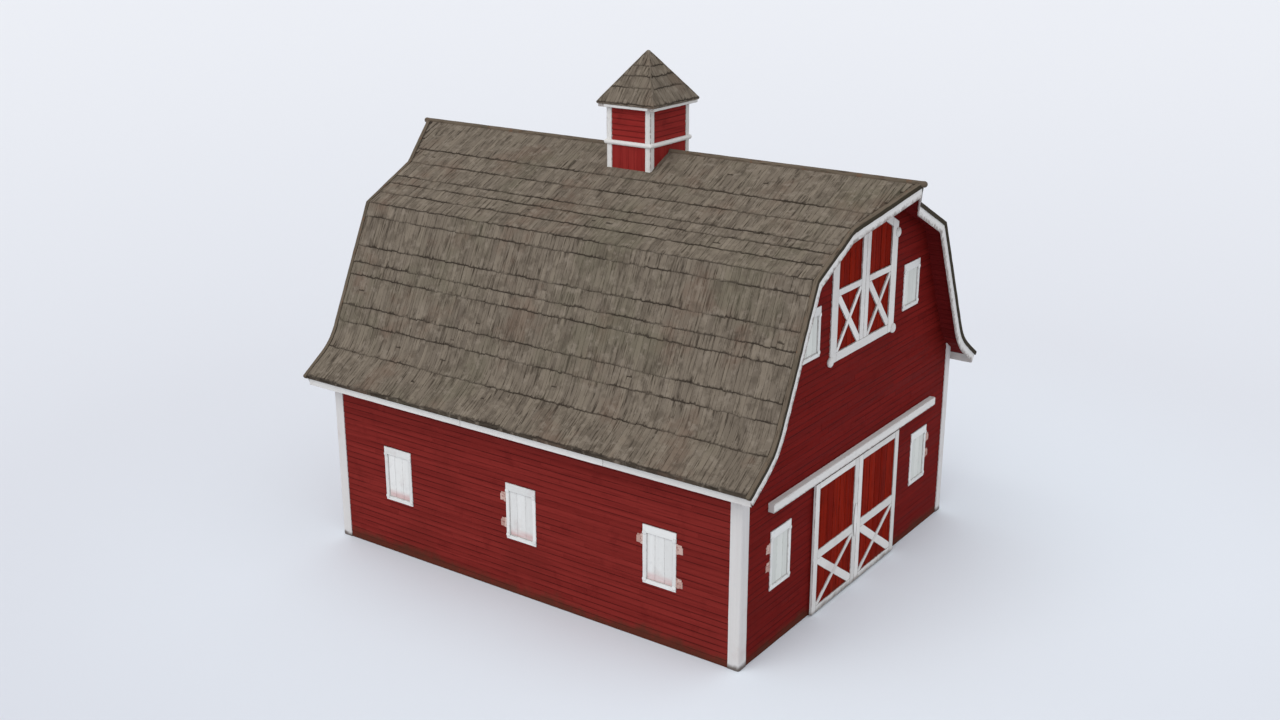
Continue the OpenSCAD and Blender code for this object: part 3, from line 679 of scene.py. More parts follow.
def make_siding():
    windows = [window_hole(y, SHUTTER_Z, SHUTTER) for y in SIDE_PLACES]
    doorway = (-DOORWAY_HALF, DOORWAY_HALF, -1.0, DOORWAY_Z)
    eave_z = under_z(HALF_W + 0.016)
    peak_z = UNDER[0][1] - 0.08
    for name, place, top, limit, holes, material in (
        ("left_wall", on_left, eave_z, side_limit, windows, SIDING),
        ("right_wall", on_right, eave_z, side_limit, windows, SIDING),
        ("front_gable", on_front, peak_z, gable_limit, gable_holes() + [doorway], SIDING_GABLE_SHADED),
        ("back_gable", on_back, peak_z, gable_limit, gable_holes(), SIDING_GABLE_SHADED),
    ):
        m = Mesh()
        siding(m, place, 0.004, top, limit, holes)
        m.build(name + "_clapboards", material, "siding")


# ---- roof
UPPER_COURSES = (0.03, 1.22, 1.77, 2.35, 2.64, 3.03, S_BREAK + 0.004)
LOWER_COURSES = (S_BREAK, 3.81, 4.55, 4.97, 5.28, 6.03, 6.45, 7.15, S_EAVE + 0.012)
SHAKE_LAP = 0.03


def shake(m, place, s0, s1, y0, y1, limit, lift, steps):
    """One split shake from s0, under the course above, down to its butt at s1."""
    def sides(s):
        room = limit(s)
        return max(y0, -room), min(y1, room)

    usable = [s0 + (s1 - s0) * k / 9 for k in range(10)]
    usable = [s for s in usable if sides(s)[1] - sides(s)[0] > 0.018]
    if len(usable) < 3:
        return
    s0 = usable[0]
    s1 = usable[-1]
    tint = rng.random()
    shift = (rng.uniform(0, 70), rng.uniform(0, 70), rng.random() * 9)
    skew = rng.uniform(-0.05, 0.05)
    curl = rng.uniform(-0.0015, 0.003)
    rings = []
    for t, drop in [(i / steps, 0.0) for i in range(steps + 1)] + [(1.0, 1.0)]:
        s = s0 + (s1 - s0) * t
        a, b = sides(s)
        mid = (a + b) / 2
        e = min(0.005, (b - a) * 0.2)
        h = lift * (0.12 + 0.88 * t) - drop * 0.005
        ring = []
        for y, up, wear_and_shade in (
            (a, -0.010, 0.5), (a, h - 0.004, 0.5), (a + e, h, 0.35), (mid, h - curl * t, 0.0),
            (b - e, h, 0.35), (b, h - 0.004, 0.5), (b, -0.010, 0.5),
        ):
            down = s + skew * (y - mid) * t + drop * 0.004
            grain = (down + shift[0], y + shift[1], shift[2])
            # The last look value, distance up from the butt, places the painted shade line along it.
            ring.append((place(down, y, up), grain, (tint, wear_and_shade, s1 - s)))
        rings.append(ring)
    m.loft(rings)


def shake_course(m, place, top, butt, limit, reach, widths=(0.07, 0.19)):
    """A course of shakes. Long ones are split here and there, which breaks the lines up."""
    y = -reach - rng.uniform(0, 0.1)
    while y < reach:
        wide = rng.uniform(*widths)
        stops = [top if abs(top - S_BREAK) < 1e-6 else top - SHAKE_LAP]
        if butt - top > 0.36 and rng.random() < 0.03:
            stops.append(top + (butt - top) * rng.uniform(0.3, 0.7))
        stops.append(butt + rng.uniform(-0.018, 0.010))
        for i in range(len(stops) - 1):
            s0 = stops[i] - (SHAKE_LAP if i else 0.0)
            s1 = stops[i + 1]
            last = i == len(stops) - 2
            lift = rng.uniform(0.015, 0.021) if last else rng.uniform(0.009, 0.014)
            steps = 1 if s1 < S_ARC else max(2, round((s1 - s0) / 0.11))
            shake(m, place, s0, s1, y + 0.0015, y + wide - 0.0015, limit, lift, steps)
        y += wide


def roof_limit(s):
    return edge_y(ROLL_W + 0.004, surf(min(s, S_EAVE), 0.0)[0])


def make_shakes():
    for side, word in ((-1, "left"), (1, "right")):
        def place(s, y, up):
            x, z = surf(s, -up)
            return Vector((side * x, y, z))

        for part, courses, reach in (
            ("upper", UPPER_COURSES, RAKE_Y + HOOD_OUT),
            ("lower", LOWER_COURSES, RAKE_Y - ROLL_W),
        ):
            m = Mesh()
            for top, butt in zip(courses, courses[1:]):
                shake_course(m, place, top, butt, roof_limit, reach)
            m.build(part + "_shakes_" + word, SHAKES, "shingles")


def edge_strip(m, side, end, profile, s_end, wobble, tail=0.0):
    """Runs a profile of (inset, depth, wear) points down one gable edge, from ridge to s_end."""
    stations = [HOOD_RUN / cos(UPPER), s_end - 0.02, s_end]
    for a, b in ((0.0, S_BREAK), (S_BREAK, S_ARC), (S_ARC, s_end)):
        parts = max(2, round((b - a) / 0.16))
        stations += [a + (b - a) * i / parts for i in range(parts)]
    stations.sort()
    stations = [s for i, s in enumerate(stations) if i == 0 or s - stations[i - 1] > 0.012]
    tint = rng.random()
    mid_e = sum(p[0] for p in profile) / len(profile)
    mid_d = sum(p[1] for p in profile) / len(profile)
    rings = []
    for s in stations:
        shrink = 1 - tail if s > s_end - 0.005 else 1.0
        de = rng.uniform(-wobble, wobble)
        dd = rng.uniform(-wobble, wobble)
        ring = []
        for k, (e, d, wear_and_shade) in enumerate(profile):
            x, z = surf(s, mid_d + (d - mid_d) * shrink + dd * wear_and_shade)
            y = edge_y(max(mid_e + (e - mid_e) * shrink + de * wear_and_shade, 0.0), x)
            grain = (s, 0.03 * (k + 1) + 5 * side, end * 3.0)
            ring.append((Vector((side * x, end * y, z)), grain, (tint, wear_and_shade, NO_EDGE)))
        rings.append(ring)
    m.loft(rings)


# The third column is the edge share; at 1.4 to 1.5 it turns the roll's outer face dark with the edge colour
# as painted shade, while the smaller values stand for scuffs.
ROLL_PROFILE = (
    (0.004, 0.078, 1.5), (0.0, 0.030, 1.5), (0.0, -0.002, 1.4), (0.007, -0.015, 0.8),
    (0.024, -0.0235, 0.3), (0.055, -0.025, 0.2), (0.086, -0.0235, 0.4), (0.103, -0.015, 0.9),
    (0.110, -0.002, 1.2), (0.110, 0.040, 0.2), (0.100, 0.078, 0.0),
)
BARGE_PROFILE = (
    (0.030, 0.075, 0.2), (0.030, 0.268, 1.0), (0.033, 0.276, 1.0), (0.039, 0.280, 1.0),
    (0.060, 0.280, 0.8), (0.065, 0.274, 0.6), (0.065, 0.075, 0.0),
)


def make_gable_edges():
    roll_end = S_EAVE + ROLL_PAST / cos(FLARE) - 0.022
    barge_end = S_EAVE + (FASCIA_X - EAVE[0] + 0.105) / cos(FLARE)
    for side, word in ((-1, "left"), (1, "right")):
        rolls = Mesh()
        boards = Mesh()
        for end in SIDES:
            edge_strip(rolls, side, end, ROLL_PROFILE, roll_end, 0.0028, tail=0.22)
            edge_strip(boards, side, end, BARGE_PROFILE, barge_end, 0.0022)
        rolls.build("rake_roll_wood_" + word, ROLL, "roof_roll", ["rake_rolls_" + word])
        boards.build("bargeboard_paint_" + word, TRIM, "trim", ["bargeboards_" + word])


def make_ridge_roll():
    """Two rounded lengths of ridge roll with swelling knobs, one on each side of the cupola."""
    m = Mesh()
    mid = RIDGE_Z - 0.02
    tip = -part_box("ridge_roll")[0].y
    for end in SIDES:
        stations = []
        y = 0.60
        while y < tip - 0.16:
            stations.append((y, 0.066 + rng.uniform(-0.002, 0.002)))
            y += 0.2
        stations.append((tip - 0.15, 0.064))
        for k in range(9):
            a = radians(10 * k)
            stations.append((tip - 0.07 + 0.07 * sin(a), 0.07 * cos(a)))
        rings = []
        for y, r in stations:
            ring = []
            for a in circle(22):
                co = Vector((r * sin(a), end * y, mid + r * cos(a)))
                ring.append((co, (y, 0.07 * a, end), (0.4, 0.3, NO_EDGE)))
            rings.append(ring)
        m.loft(rings)
    m.build("ridge_roll_wood", ROLL, "roof_roll", ["ridge_roll"])


def to_hood(x, t):
    start = HALF_L - 0.12
    return start + (edge_y(0.066, x) - start) * t


def along_eave(x, t):
    return (HALF_L - 0.13) * (2 * t - 1)


def make_soffit_boards():
    """Boards along the building under the roof boards, seen at the eaves, gables and hoods."""
    m = Mesh()
    wide = 0.155
    s_end = S_EAVE - (EAVE[0] - FASCIA_X + BARGE_T) / cos(FLARE) + 0.08
    for side in SIDES:
        for i in range(int(s_end / wide)):
            s0 = i * wide + 0.002
            s1 = s0 + wide - 0.005
            top = UNDER_D - 0.004
            face = UNDER_D + rng.uniform(0.006, 0.009)
            profile = [(s0, top), (s0, face - 0.003), (s0 + 0.004, face)]
            profile += [(s1 - 0.004, face), (s1, face - 0.003), (s1, top)]
            tint = rng.random()
            shift = rng.uniform(0, 50)
            runs = [(-1, to_hood), (1, to_hood)]
            if surf(s0, 0)[0] > HALF_W - 0.35:
                runs.append((1, along_eave))
            for end, y_at in runs:
                rings = []
                for t in (0.0, 0.5, 1.0):
                    ring = []
                    for s, d in profile:
                        x, z = surf(s, d)
                        y = y_at(x, t)
                        co = Vector((side * x, end * y, z))
                        ring.append((co, (y + shift, s, 0.0), (tint, 0.0, NO_EDGE)))
                    rings.append(ring)
                m.loft(rings)
    m.build("soffit_boards", SOFFIT, "soffit")


def make_eave_fascia():
    m = Mesh()
    reach = RAKE_Y - BARGE_IN - BARGE_T
    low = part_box("eave_fascia")[0].z
    high = surf(S_EAVE, SHINGLE_T)[1] + 0.025
    stops = [-reach, -reach * 0.42, reach * 0.22, reach]
    for side in SIDES:
        def place(u, v, w):
            return Vector((side * (FASCIA_X + w), u, v))

        for a, b in zip(stops, stops[1:]):
            slab(m, rect(a, b - 0.002, low, high), place, 0.0, BARGE_T, 0.007, wave=0.0025)
    m.build("eave_fascia_boards", TRIM, "trim", ["eave_fascia"])


def make_corner_boards():
    """Corner posts with a rounded outer edge, a scuffed, pinched foot and slightly uneven sides."""
    m = Mesh()
    t = CORNER_T
    w = CORNER_W
    r = CORNER_R
    outline = [(-t, w, 0.8), (-t, 0.12, 0.0)]
    for k in range(6):
        a = radians(18 * k)
        outline.append((r - t - r * cos(a), r - t - r * sin(a), 0.5))
    outline += [(0.12, -t, 0.0), (w, -t, 0.8), (w, 0.0, 0.5), (0.0, 0.0, 0.0), (0.0, w, 0.5)]
    for sx, sy in EACH_CORNER:
        tint = rng.random()
        shift = rng.uniform(0, 30)
        rings = []
        for k, z in enumerate([0.0, 0.012] + [0.2 + 0.25 * i for i in range(17)] + [9.0]):
            squeeze = 0.004 if k == 0 else 0.0
            da = rng.uniform(-0.0025, 0.0025)
            db = rng.uniform(-0.0025, 0.0025)
            ring = []
            for a, b, wear_and_shade in outline:
                a2 = a + (da if abs(b) >= w * 0.9 or b < 0 else 0) + squeeze * (a < 0)
                b2 = b + (db if abs(a) >= w * 0.9 or a < 0 else 0) + squeeze * (b < 0)
                a2 = max(a2, -t)
                b2 = max(b2, -t)
                height = min(z, under_z(HALF_W - a2) - 0.002)
                co = Vector((sx * (HALF_W - a2), sy * (HALF_L - b2), height))
                ring.append((co, (height + shift, a - b, 0.0), (tint, wear_and_shade, NO_EDGE)))
            rings.append(ring)
        m.loft(rings)
    m.build("corner_posts", POST_PAINT, "trim", ["corner_boards"])


# ---- shutters
MEMBER = 0.095
HEAD = 0.19
FRAME_T = 0.03
SHADOW_BEAD = 0.018


def shutter(frames, panels, place, x, z, size):
    """A frame with a broad head, four corner buttons, grey beads of painted shade round the panel, and a
    panel of three boards.
    """
    half = size[0] / 2
    top = z + size[1]

    def member(x0, x1, z0, z1, sink, turn=0.0):
        poly = rect(min(x0, x1), max(x0, x1), z0, z1)
        slab(frames, poly, place, FRAME_T - sink, FRAME_T + 0.004 - sink, 0.008, turn, wave=0.003)

    member(x - half, x + half, top - HEAD, top, 0.0)
    member(x - half + 0.001, x + half - 0.001, z, z + MEMBER, 0.001)
    for s in SIDES:
        edge = x + s * half
        member(edge, edge - s * MEMBER, z + MEMBER + 0.001, top - HEAD - 0.001, 0.002, UPRIGHT)
        for v in (z + MEMBER, top - HEAD):
            dome(frames, place, x + s * (half - MEMBER / 2), v, FRAME_T - 0.008, 0.054, 0.048)
    left = x - half + MEMBER - 0.004
    right = x + half - MEMBER + 0.004
    low = z + MEMBER - 0.004
    high = top - HEAD + 0.004
    # Painted shade: thin strips in the frame's inner corners, greyed almost all over by their edge share.
    for poly, turn in (
        (rect(left, right, low, low + SHADOW_BEAD), 0.0),
        (rect(left, right, high - SHADOW_BEAD, high), 0.0),
        (rect(left, left + SHADOW_BEAD, low + SHADOW_BEAD, high - SHADOW_BEAD), UPRIGHT),
        (rect(right - SHADOW_BEAD, right, low + SHADOW_BEAD, high - SHADOW_BEAD), UPRIGHT),
    ):
        slab(frames, poly, place, 0.010, 0.012, 0.004, turn, rim=0.003, wear_and_shade_share=1.7)
    hole = half - 0.06
    wide = 2 * hole / 3
    for i in range(3):
        a = x - hole + i * wide
        poly = rect(a + 0.0015, a + wide - 0.0015, z + 0.06, top - 0.06)
        slab(panels, poly, place, rng.uniform(-0.001, 0.0015), 0.04, 0.005, UPRIGHT, foot=z + MEMBER)


def make_shutters():
    on_sides = [(place, y, SHUTTER_Z, SHUTTER) for y in SIDE_PLACES for place in (on_left, on_right)]
    on_gables = []
    for place in (on_front, on_back):
        for s in SIDES:
            on_gables.append((place, s * GABLE_X, SHUTTER_Z, SHUTTER))
            on_gables.append((place, s * LOFT_X, LOFT_SHUTTER_Z, LOFT_SHUTTER))
    for word, spots, panel_paint, slot in (
        ("side", on_sides, SHUTTER_WHITE, "shutter_white"),
        ("gable", on_gables, SHUTTER_GREY, "shutter_grey"),
    ):
        frames = Mesh()
        panels = Mesh()
        for spot in spots:
            shutter(frames, panels, *spot)
        nodes = [word + "_shutter_frames"]
        frames.build(word + "_shutter_battens", SHUTTER_WHITE, "shutter_white", nodes)
        panels.build(word + "_shutter_boards", panel_paint, slot, [word + "_shutter_panels"])


def hinge(m, place, x, side, z):
    """What is left of an old hinge: a knuckle with a broken leaf, painted over."""
    near = x + side * SHUTTER[0] / 2
    for a, b, z0, z1, front in (
        (0.0, 0.14, 0.01, 0.105, 0.019), (0.0, 0.075, -0.115, -0.015, 0.018),
        (0.06, 0.165, -0.10, 0.055, 0.021), (0.0, 0.045, -0.12, 0.12, 0.023),
    ):
        lo, hi = sorted((near + side * a, near + side * b))
        poly = rect(lo, hi, z + z0, z + z1)
        slab(m, poly, place, front, front + 0.003, 0.004, wave=0.004, step=0.05)


def make_hinges():
    m = Mesh()
    high = SHUTTER_Z + SHUTTER[1] - 0.36
    low = SHUTTER_Z + 0.23
    for y, side, z in ((0, -1, high), (0, -1, low + 0.15), (3.8, -1, high), (3.8, 1, high), (3.8, 1, low)):
        hinge(m, on_left, y, side, z)
    for s in SIDES:
        hinge(m, on_front, s * GABLE_X, s, high)
        hinge(m, on_front, s * GABLE_X, s, SHUTTER_Z + 0.6)
    m.build("old_hinges", OLD_PAINT, "old_paint", ["shutter_hinges"])


# ---- hay doors
HAY_STILE = 0.29
HAY_CENTRE = 0.37
HAY_RAIL = 0.21
HAY_MID = (7.28, 7.43)
HAY_T = 0.035


def hay_line(x, down=0.0):
    return HAY_HEAD - down - abs(x) * HAY_SLOPE


def under_head(poly, down):
    """Cuts an outline under the hay door's sloping head."""
    poly = cut(poly, HAY_SLOPE, 1.0, HAY_HEAD - down)
    return cut(poly, -HAY_SLOPE, 1.0, HAY_HEAD - down)


def cross(m, place, x0, x1, z0, z1, widths, front, thick):
    """A broad batten falling to the right and a narrow one rising over it."""
    for width, rising, up in ((widths[0], -1, -0.001), (widths[1], 1, 0.002)):
        poly, turn = strip(x0, x1, z0, z1, width, rising)
        slab(m, poly, place, front + up, thick + up, 0.007, turn, wave=0.0025)


def hay_door(frames, boards, place):
    """The closed pair of hay doors of one gable, up to their peaked head."""
    inner = HAY_HALF - HAY_STILE
    base = HAY_Z + HAY_RAIL
    thick = HAY_T + 0.004

    def batten(poly, sink, turn=0.0, r=0.008, wave=0.003):
        slab(frames, poly, place, HAY_T - sink, thick, r, turn, wave=wave)

    for s in SIDES:
        lo, hi = sorted((s * HAY_HALF, s * inner))
        batten(under_head(rect(lo, hi, HAY_Z, HAY_HEAD), 0.0), 0.0, UPRIGHT)
        lo, hi = sorted((0.0, s * inner))
        head = [(x, hay_line(x)) for x in (lo, hi)] + [(x, hay_line(x, HAY_RAIL)) for x in (hi, lo)]
        batten(head, 0.001, -s * UPPER)
        lo, hi = sorted((s * 0.002, s * HAY_CENTRE / 2))
        batten(under_head(rect(lo, hi, base + 0.001, HAY_HEAD), 0.205), 0.002, UPRIGHT, wave=0.0025)
        lo, hi = sorted((s * HAY_CENTRE / 2, s * inner))
        batten(rect(lo, hi, *HAY_MID), 0.003, r=0.007, wave=0.0025)
        cross(frames, place, lo, hi, base, HAY_MID[0], (0.17, 0.11), HAY_T - 0.005, thick)
        for z in (HAY_Z + 0.06, hay_line(HAY_HALF) - 0.25):
            dome(frames, place, s * (HAY_HALF - 0.03), z, 0.0, 0.115, 0.088, 28, 1.25)
    batten(rect(-inner, inner, HAY_Z, base), 0.0015)
    edge = HAY_HALF - 0.06
    wide = 2 * edge / 12
    for i in range(12):
        a = -edge + i * wide
        poly = under_head(rect(a + 0.003, a + wide - 0.003, HAY_Z + 0.06, HAY_HEAD), 0.07)
        slab(boards, poly, place, rng.uniform(-0.003, 0.003), 0.04, 0.009, UPRIGHT)


def make_hay_doors():
    frames = Mesh()
    boards = Mesh()
    for place in (on_front, on_back):
        hay_door(frames, boards, place)
    frames.build("hay_door_battens", TRIM, "trim", ["hay_door_frames"])
    boards.build("hay_door_planks", DOOR_RED, "door_red", ["hay_door_boards"])


# ---- sliding doors
LEAF_W = 2.047
LEAF_GAP = 0.003
LEAF_Z = (0.03, 3.20)
LEAF_BACK = 0.05
BOARD_T = 0.04
LEAF_FRONT = LEAF_BACK + BOARD_T
RAIL_T = 0.02
LEAF_FACE = LEAF_FRONT + RAIL_T
STILE = 0.19
LEAF_RAIL = 0.15
MID_RAIL = (1.35, 1.57)
PULL_SIZE = (0.06, 0.83 / 2)
PULL_Z = 1.23 + PULL_SIZE[1]


def leaf_planks(body, x):
    """Seven upright boards of a sliding leaf on a thin backing."""
    m = Mesh()
    z0, z1 = LEAF_Z
    wide = LEAF_W / 7
    for i in range(7):
        a = x + i * wide
        lo = a + (0.009 if i == 0 else 0.0035)
        hi = a + wide - (0.009 if i == 6 else 0.0035)
        poly = rect(lo, hi, z0 + rng.uniform(0, 0.004), z1)
        slab(m, poly, on_front, LEAF_FRONT - rng.uniform(0, 0.003), BOARD_T - 0.010, 0.009, UPRIGHT)
    poly = rect(x + 0.009, x + LEAF_W - 0.009, z0 + 0.005, z1)
    slab(m, poly, on_front, LEAF_BACK + 0.012, 0.012, 0.003, UPRIGHT)
    m.build(body + "_planks", DOOR_RED, "door_red", [body + "_boards"], body)


def leaf_battens(body, x):
    """White stiles, edge strips, rails and crossed braces of a sliding leaf."""
    m = Mesh()
    z0, z1 = LEAF_Z
    thick = RAIL_T + 0.004
    left = x + STILE
    right = x + LEAF_W - STILE
    for lo in (x, right):
        poly = rect(lo, lo + STILE, z0, z1)
        slab(m, poly, on_front, LEAF_FACE - 0.001, thick, 0.006, UPRIGHT, wave=0.003)
    for lo in (x, x + LEAF_W - 0.008):
        poly = rect(lo, lo + 0.008, z0 + 0.001, z1 - 0.001)
        slab(m, poly, on_front, LEAF_FACE - 0.006, 0.052, 0.003, UPRIGHT, rim=0.0005, wear_and_shade_share=0.25)
    for lo, hi in ((z0, z0 + LEAF_RAIL), MID_RAIL, (z1 - LEAF_RAIL, z1)):
        poly = rect(left + 0.001, right - 0.001, lo, hi)
        slab(m, poly, on_front, LEAF_FACE - 0.002, thick, 0.006, wave=0.003)
    bay = (left, right, z0 + LEAF_RAIL, MID_RAIL[0])
    cross(m, on_front, *bay, (0.20, 0.12), LEAF_FACE - 0.003, thick)
    m.build(body + "_battens", TRIM, "trim", [body + "_frame"], body)


def spindle(wide, tall, reach, wear_and_shade):
    """A long pull on the left leaf's stile, broad in the middle, reaching out from its face."""
    m = Mesh()
    x = -LEAF_GAP - STILE / 2
    base = LEAF_FACE - 0.003
    rings = []
    for share, up in (
        (0.97, 0.0), (1.0, 0.12), (1.0, 0.4), (0.93, 0.66), (0.8, 0.85), (0.6, 0.96), (0.3, 1.0)
    ):
        ring = []
        for a in circle(32):
            u = x + wide * share * cos(a) * (0.55 + 0.45 * abs(cos(a)))
            v = PULL_Z + (tall - wide * (1 - share)) * sin(a)
            co = on_front(u, v, base + (LEAF_FACE + reach - base) * up)
            ring.append((co, (v, u + 7.0, up), (0.6, wear_and_shade * (1 - up), NO_EDGE)))
        rings.append(ring)
    m.loft(rings)
    return m


def make_leaves():
    for body, x in (("left_door", -LEAF_GAP - LEAF_W), ("right_door", LEAF_GAP)):
        leaf_planks(body, x)
        leaf_battens(body, x)
    half, tall = PULL_SIZE
    grip = spindle(half - 0.010, tall - 0.012, 0.03, 0.35)
    grip.build("door_pull_grip", PULL_PAINT, "trim", ["door_pull"], "left_door")
    # Painted shade: a dark, wider, flatter copy of the pull behind the grip stands for the shadow round it.
    shadow_outline = spindle(half + 0.010, tall + 0.008, 0.008, 1.4)
    shadow_outline.build("door_pull_shadow", PULL_SHADOW, "trim", (), "left_door")


def make_doorway_casing():
    """Red boards on the wall behind the leaves' outer edges."""
    m = Mesh()
    for s in SIDES:
        lo, hi = sorted((s * (DOORWAY_HALF + 0.004), s * (LEAF_W - 0.002)))
        poly = rect(lo, hi, 0.004, DOORWAY_Z)
        slab(m, poly, on_front, 0.034, 0.036, 0.005, UPRIGHT, wave=0.0015)
    m.build("doorway_casing", SIDING_GABLE_SHADED, "siding")


def make_track_cover():
    """The box over the door track: a front board and a lid with soft edges, and two ends."""
    m = Mesh()
    lo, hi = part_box("track_cover")
    half = hi.x
    z0 = lo.z
    z1 = hi.z
    out = -HALF_L - lo.y
    t = 0.025
    r = 0.020
    profile = [(z0, out - t, 0.5), (z0, out - 0.006, 1.0), (z0 + 0.006, out, 1.0), (z1 - 0.09, out, 0.0)]
    for k in range(5):
        a = radians(22.5 * k)
        profile.append((z1 - r + r * sin(a), out - r + r * cos(a), 0.7))
    profile += [(z1, out - 0.05, 0.0), (z1, 0.05, 0.0), (z1, 0.002, 0.5)]
    profile += [(z1 - t, 0.002, 0.0), (z1 - t, out - t, 0.0)]
    parts = 26
    rings = []
    for i in range(parts + 1):
        u = (half - 0.001) * (2 * i / parts - 1)
        dz = rng.uniform(-0.003, 0.0)
        dw = rng.uniform(-0.003, 0.0)
        ring = []
        for k, (z, w, wear_and_shade) in enumerate(profile):
            co = on_front(u, z + dz * (z > z0 + 0.05), w + dw * (w > out - 0.01))
            ring.append((co, (u, 0.03 * (k + 1) + z, w), (0.6, wear_and_shade, NO_EDGE)))
        rings.append(ring)
    m.loft(rings)
    for s in SIDES:
        def place(u, v, w):
            return on_front(s * (half - t + w), v, u)

        poly = rect(0.002, out - 0.004, z0 + 0.001, z1 - 0.003)
        slab(m, poly, place, t - 0.0005, t - 0.002, 0.010, wave=0.002, step=0.07)
    m.build("track_cover_boards", TRIM, "trim", ["track_cover"])


# ---- cupola
CUP_X = 0.81
CUP_Y = 0.63
CUP_TOP = 10.69
CUP_POST = 0.17
BAND_Z = 9.875
BAND_R = 0.055
CUP_EAVE = (0.95, 0.81)
CUP_EAVE_Z = 10.77
PEAK_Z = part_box("cupola_roof")[1].z


def make_cupola_walls():
    """Clapboards over the band and upright boards under it, cut along the main roof."""
    claps = Mesh()
    plain = Mesh()
    core_x = CUP_X - 0.02
    for i, place in enumerate(walls(core_x, CUP_Y - 0.02)):
        side = (CUP_X if i < 2 else CUP_Y) - 0.16

        def limit(z):
            return -side, side

        siding(claps, place, BAND_Z + 0.03, CUP_TOP, limit, [], 0.131, (3.0, 4.0))
        count = 5 if i < 2 else 4
        wide = 2 * side / count
        for k in range(count):
            a = -side + k * wide
            poly = rect(a + 0.001, a + wide - 0.001, RIDGE_Z - 0.62, BAND_Z)
            if i < 2:
                lean = HAY_SLOPE if a + wide / 2 > 0 else -HAY_SLOPE
                poly = cut(poly, -lean, -1.0, 0.06 - RIDGE_Z)
            else:
                poly = cut(poly, 0.0, -1.0, 0.06 - RIDGE_Z + core_x * HAY_SLOPE)
            slab(plain, poly, place, 0.009 + rng.uniform(0, 0.002), 0.013, 0.004, UPRIGHT)
    claps.build("cupola_clapboards", CUPOLA_RED, "cupola_siding")
    plain.build("cupola_lower_boards", CUPOLA_RED, "cupola_siding")


def make_cupola_posts():
    m = Mesh()
    r = 0.03
    foot = RIDGE_Z - CUP_X * HAY_SLOPE - 0.05
    for sx, sy in EACH_CORNER:
        tint = rng.random()
        rings = []
        for k in range(9):
            z = foot + (CUP_TOP - foot) * k / 8
            swell = rng.uniform(-0.002, 0.0)
            ring = []
            for qx, qy, start in ((1, 1, 0), (0, 1, 90), (0, 0, 180), (1, 0, 270)):
                for j in range(4):
                    a = radians(start + 30 * j)
                    cx = CUP_X - r - (0 if qx else CUP_POST - 2 * r) + (r + swell) * cos(a)
                    cy = CUP_Y - r - (0 if qy else CUP_POST - 2 * r) + (r + swell) * sin(a)
                    look = (tint, 1.0 if j in (1, 2) else 0.6, NO_EDGE)
                    ring.append((Vector((sx * cx, sy * cy, z)), (z, cx + cy, sx + 2.0 * sy), look))
            rings.append(ring)
        m.loft(rings)
    m.build("cupola_posts", TRIM, "trim", ["cupola_corner_boards"])


def make_cupola_band():
    """The half-round band, turned round each corner."""
    m = Mesh()
    path = []
    for (sx, sy), start in zip(ROUND_CORNERS, (0, 90, 180, 270)):
        for k in range(6):
            path.append((sx * CUP_X, sy * CUP_Y, radians(start + 18 * k)))
    rings = []
    run = 0.0
    last = path[0][:2]
    for x, y, turn in path:
        run += dist(last, (x, y))
        last = (x, y)
        ring = []
        for k in range(11):
            a = radians(-90 + 18 * k)
            out = BAND_R * cos(a)
            co = Vector((x + out * cos(turn), y + out * sin(turn), BAND_Z + BAND_R * sin(a)))
            ring.append((co, (run, 0.06 * a, 0.0), (0.7, 0.4, NO_EDGE)))
        co = Vector((x * 0.985, y * 0.985, BAND_Z))
        ring.append((co, (run, 0.0, 0.0), (0.7, 0.0, NO_EDGE)))
        rings.append(ring)
    m.loft(rings, loop=True)
    m.build("cupola_band_wood", TRIM, "trim", ["cupola_band"])


def make_cupola_fascia():
    m = Mesh()
    x = CUP_EAVE[0] - 0.03
    y = CUP_EAVE[1] - 0.03
    deep = 0.17
    for k, place in enumerate(walls(x - deep, y - deep)):
        half, trim = (x, 0.0) if k < 2 else (y - 0.002, 0.001)
        poly = rect(-half, half, CUP_TOP + trim, CUP_EAVE_Z + 0.004)
        slab(m, poly, place, deep - trim, deep, 0.008, wave=0.002, step=0.25)
    m.build("cupola_fascia_boards", TRIM, "trim", ["cupola_fascia"])


def cupola_core(m, edge):
    """The boarded pyramid under the cupola's shakes."""
    z = CUP_EAVE_Z
    rings = []
    for share, z in (
        (0.975, z - 0.012), (0.99, z - 0.006), (1.0, edge - 0.014), (0.99, edge - 0.004),
        (0.02, PEAK_Z - 0.035),
    ):
        ring = []
        for sx, sy in ROUND_CORNERS:
            co = Vector((sx * CUP_EAVE[0] * share, sy * CUP_EAVE[1] * share, z))
            ring.append((co, (co.x, co.y, z), (0.3, 0.0, NO_EDGE)))
        rings.append(ring)
    m.loft(rings)


def cupola_slope(m, edge, rise, sx, sy):
    """Courses of small shakes on one side of the cupola's roof."""
    run, half = CUP_EAVE if sx else CUP_EAVE[::-1]
    slope = hypot(run, rise)
    sink = 0.022 * 0.55

    def place(s, y, up):
        up = up - sink
        r = run * s / slope + up * (rise / slope)
        z = edge + rise * (1 - s / slope) + up * (run / slope)
        return Vector((sx * r - sy * y, sy * r + sx * y, z))

    def limit(s):
        return half * min(s / slope, 1.0) - 0.004

    stops = [0.10] + [slope * k for k in (0.31, 0.50, 0.71)] + [slope + 0.002]
    for a, b in zip(stops, stops[1:]):
        shake_course(m, place, a, b, limit, half, (0.07, 0.15))


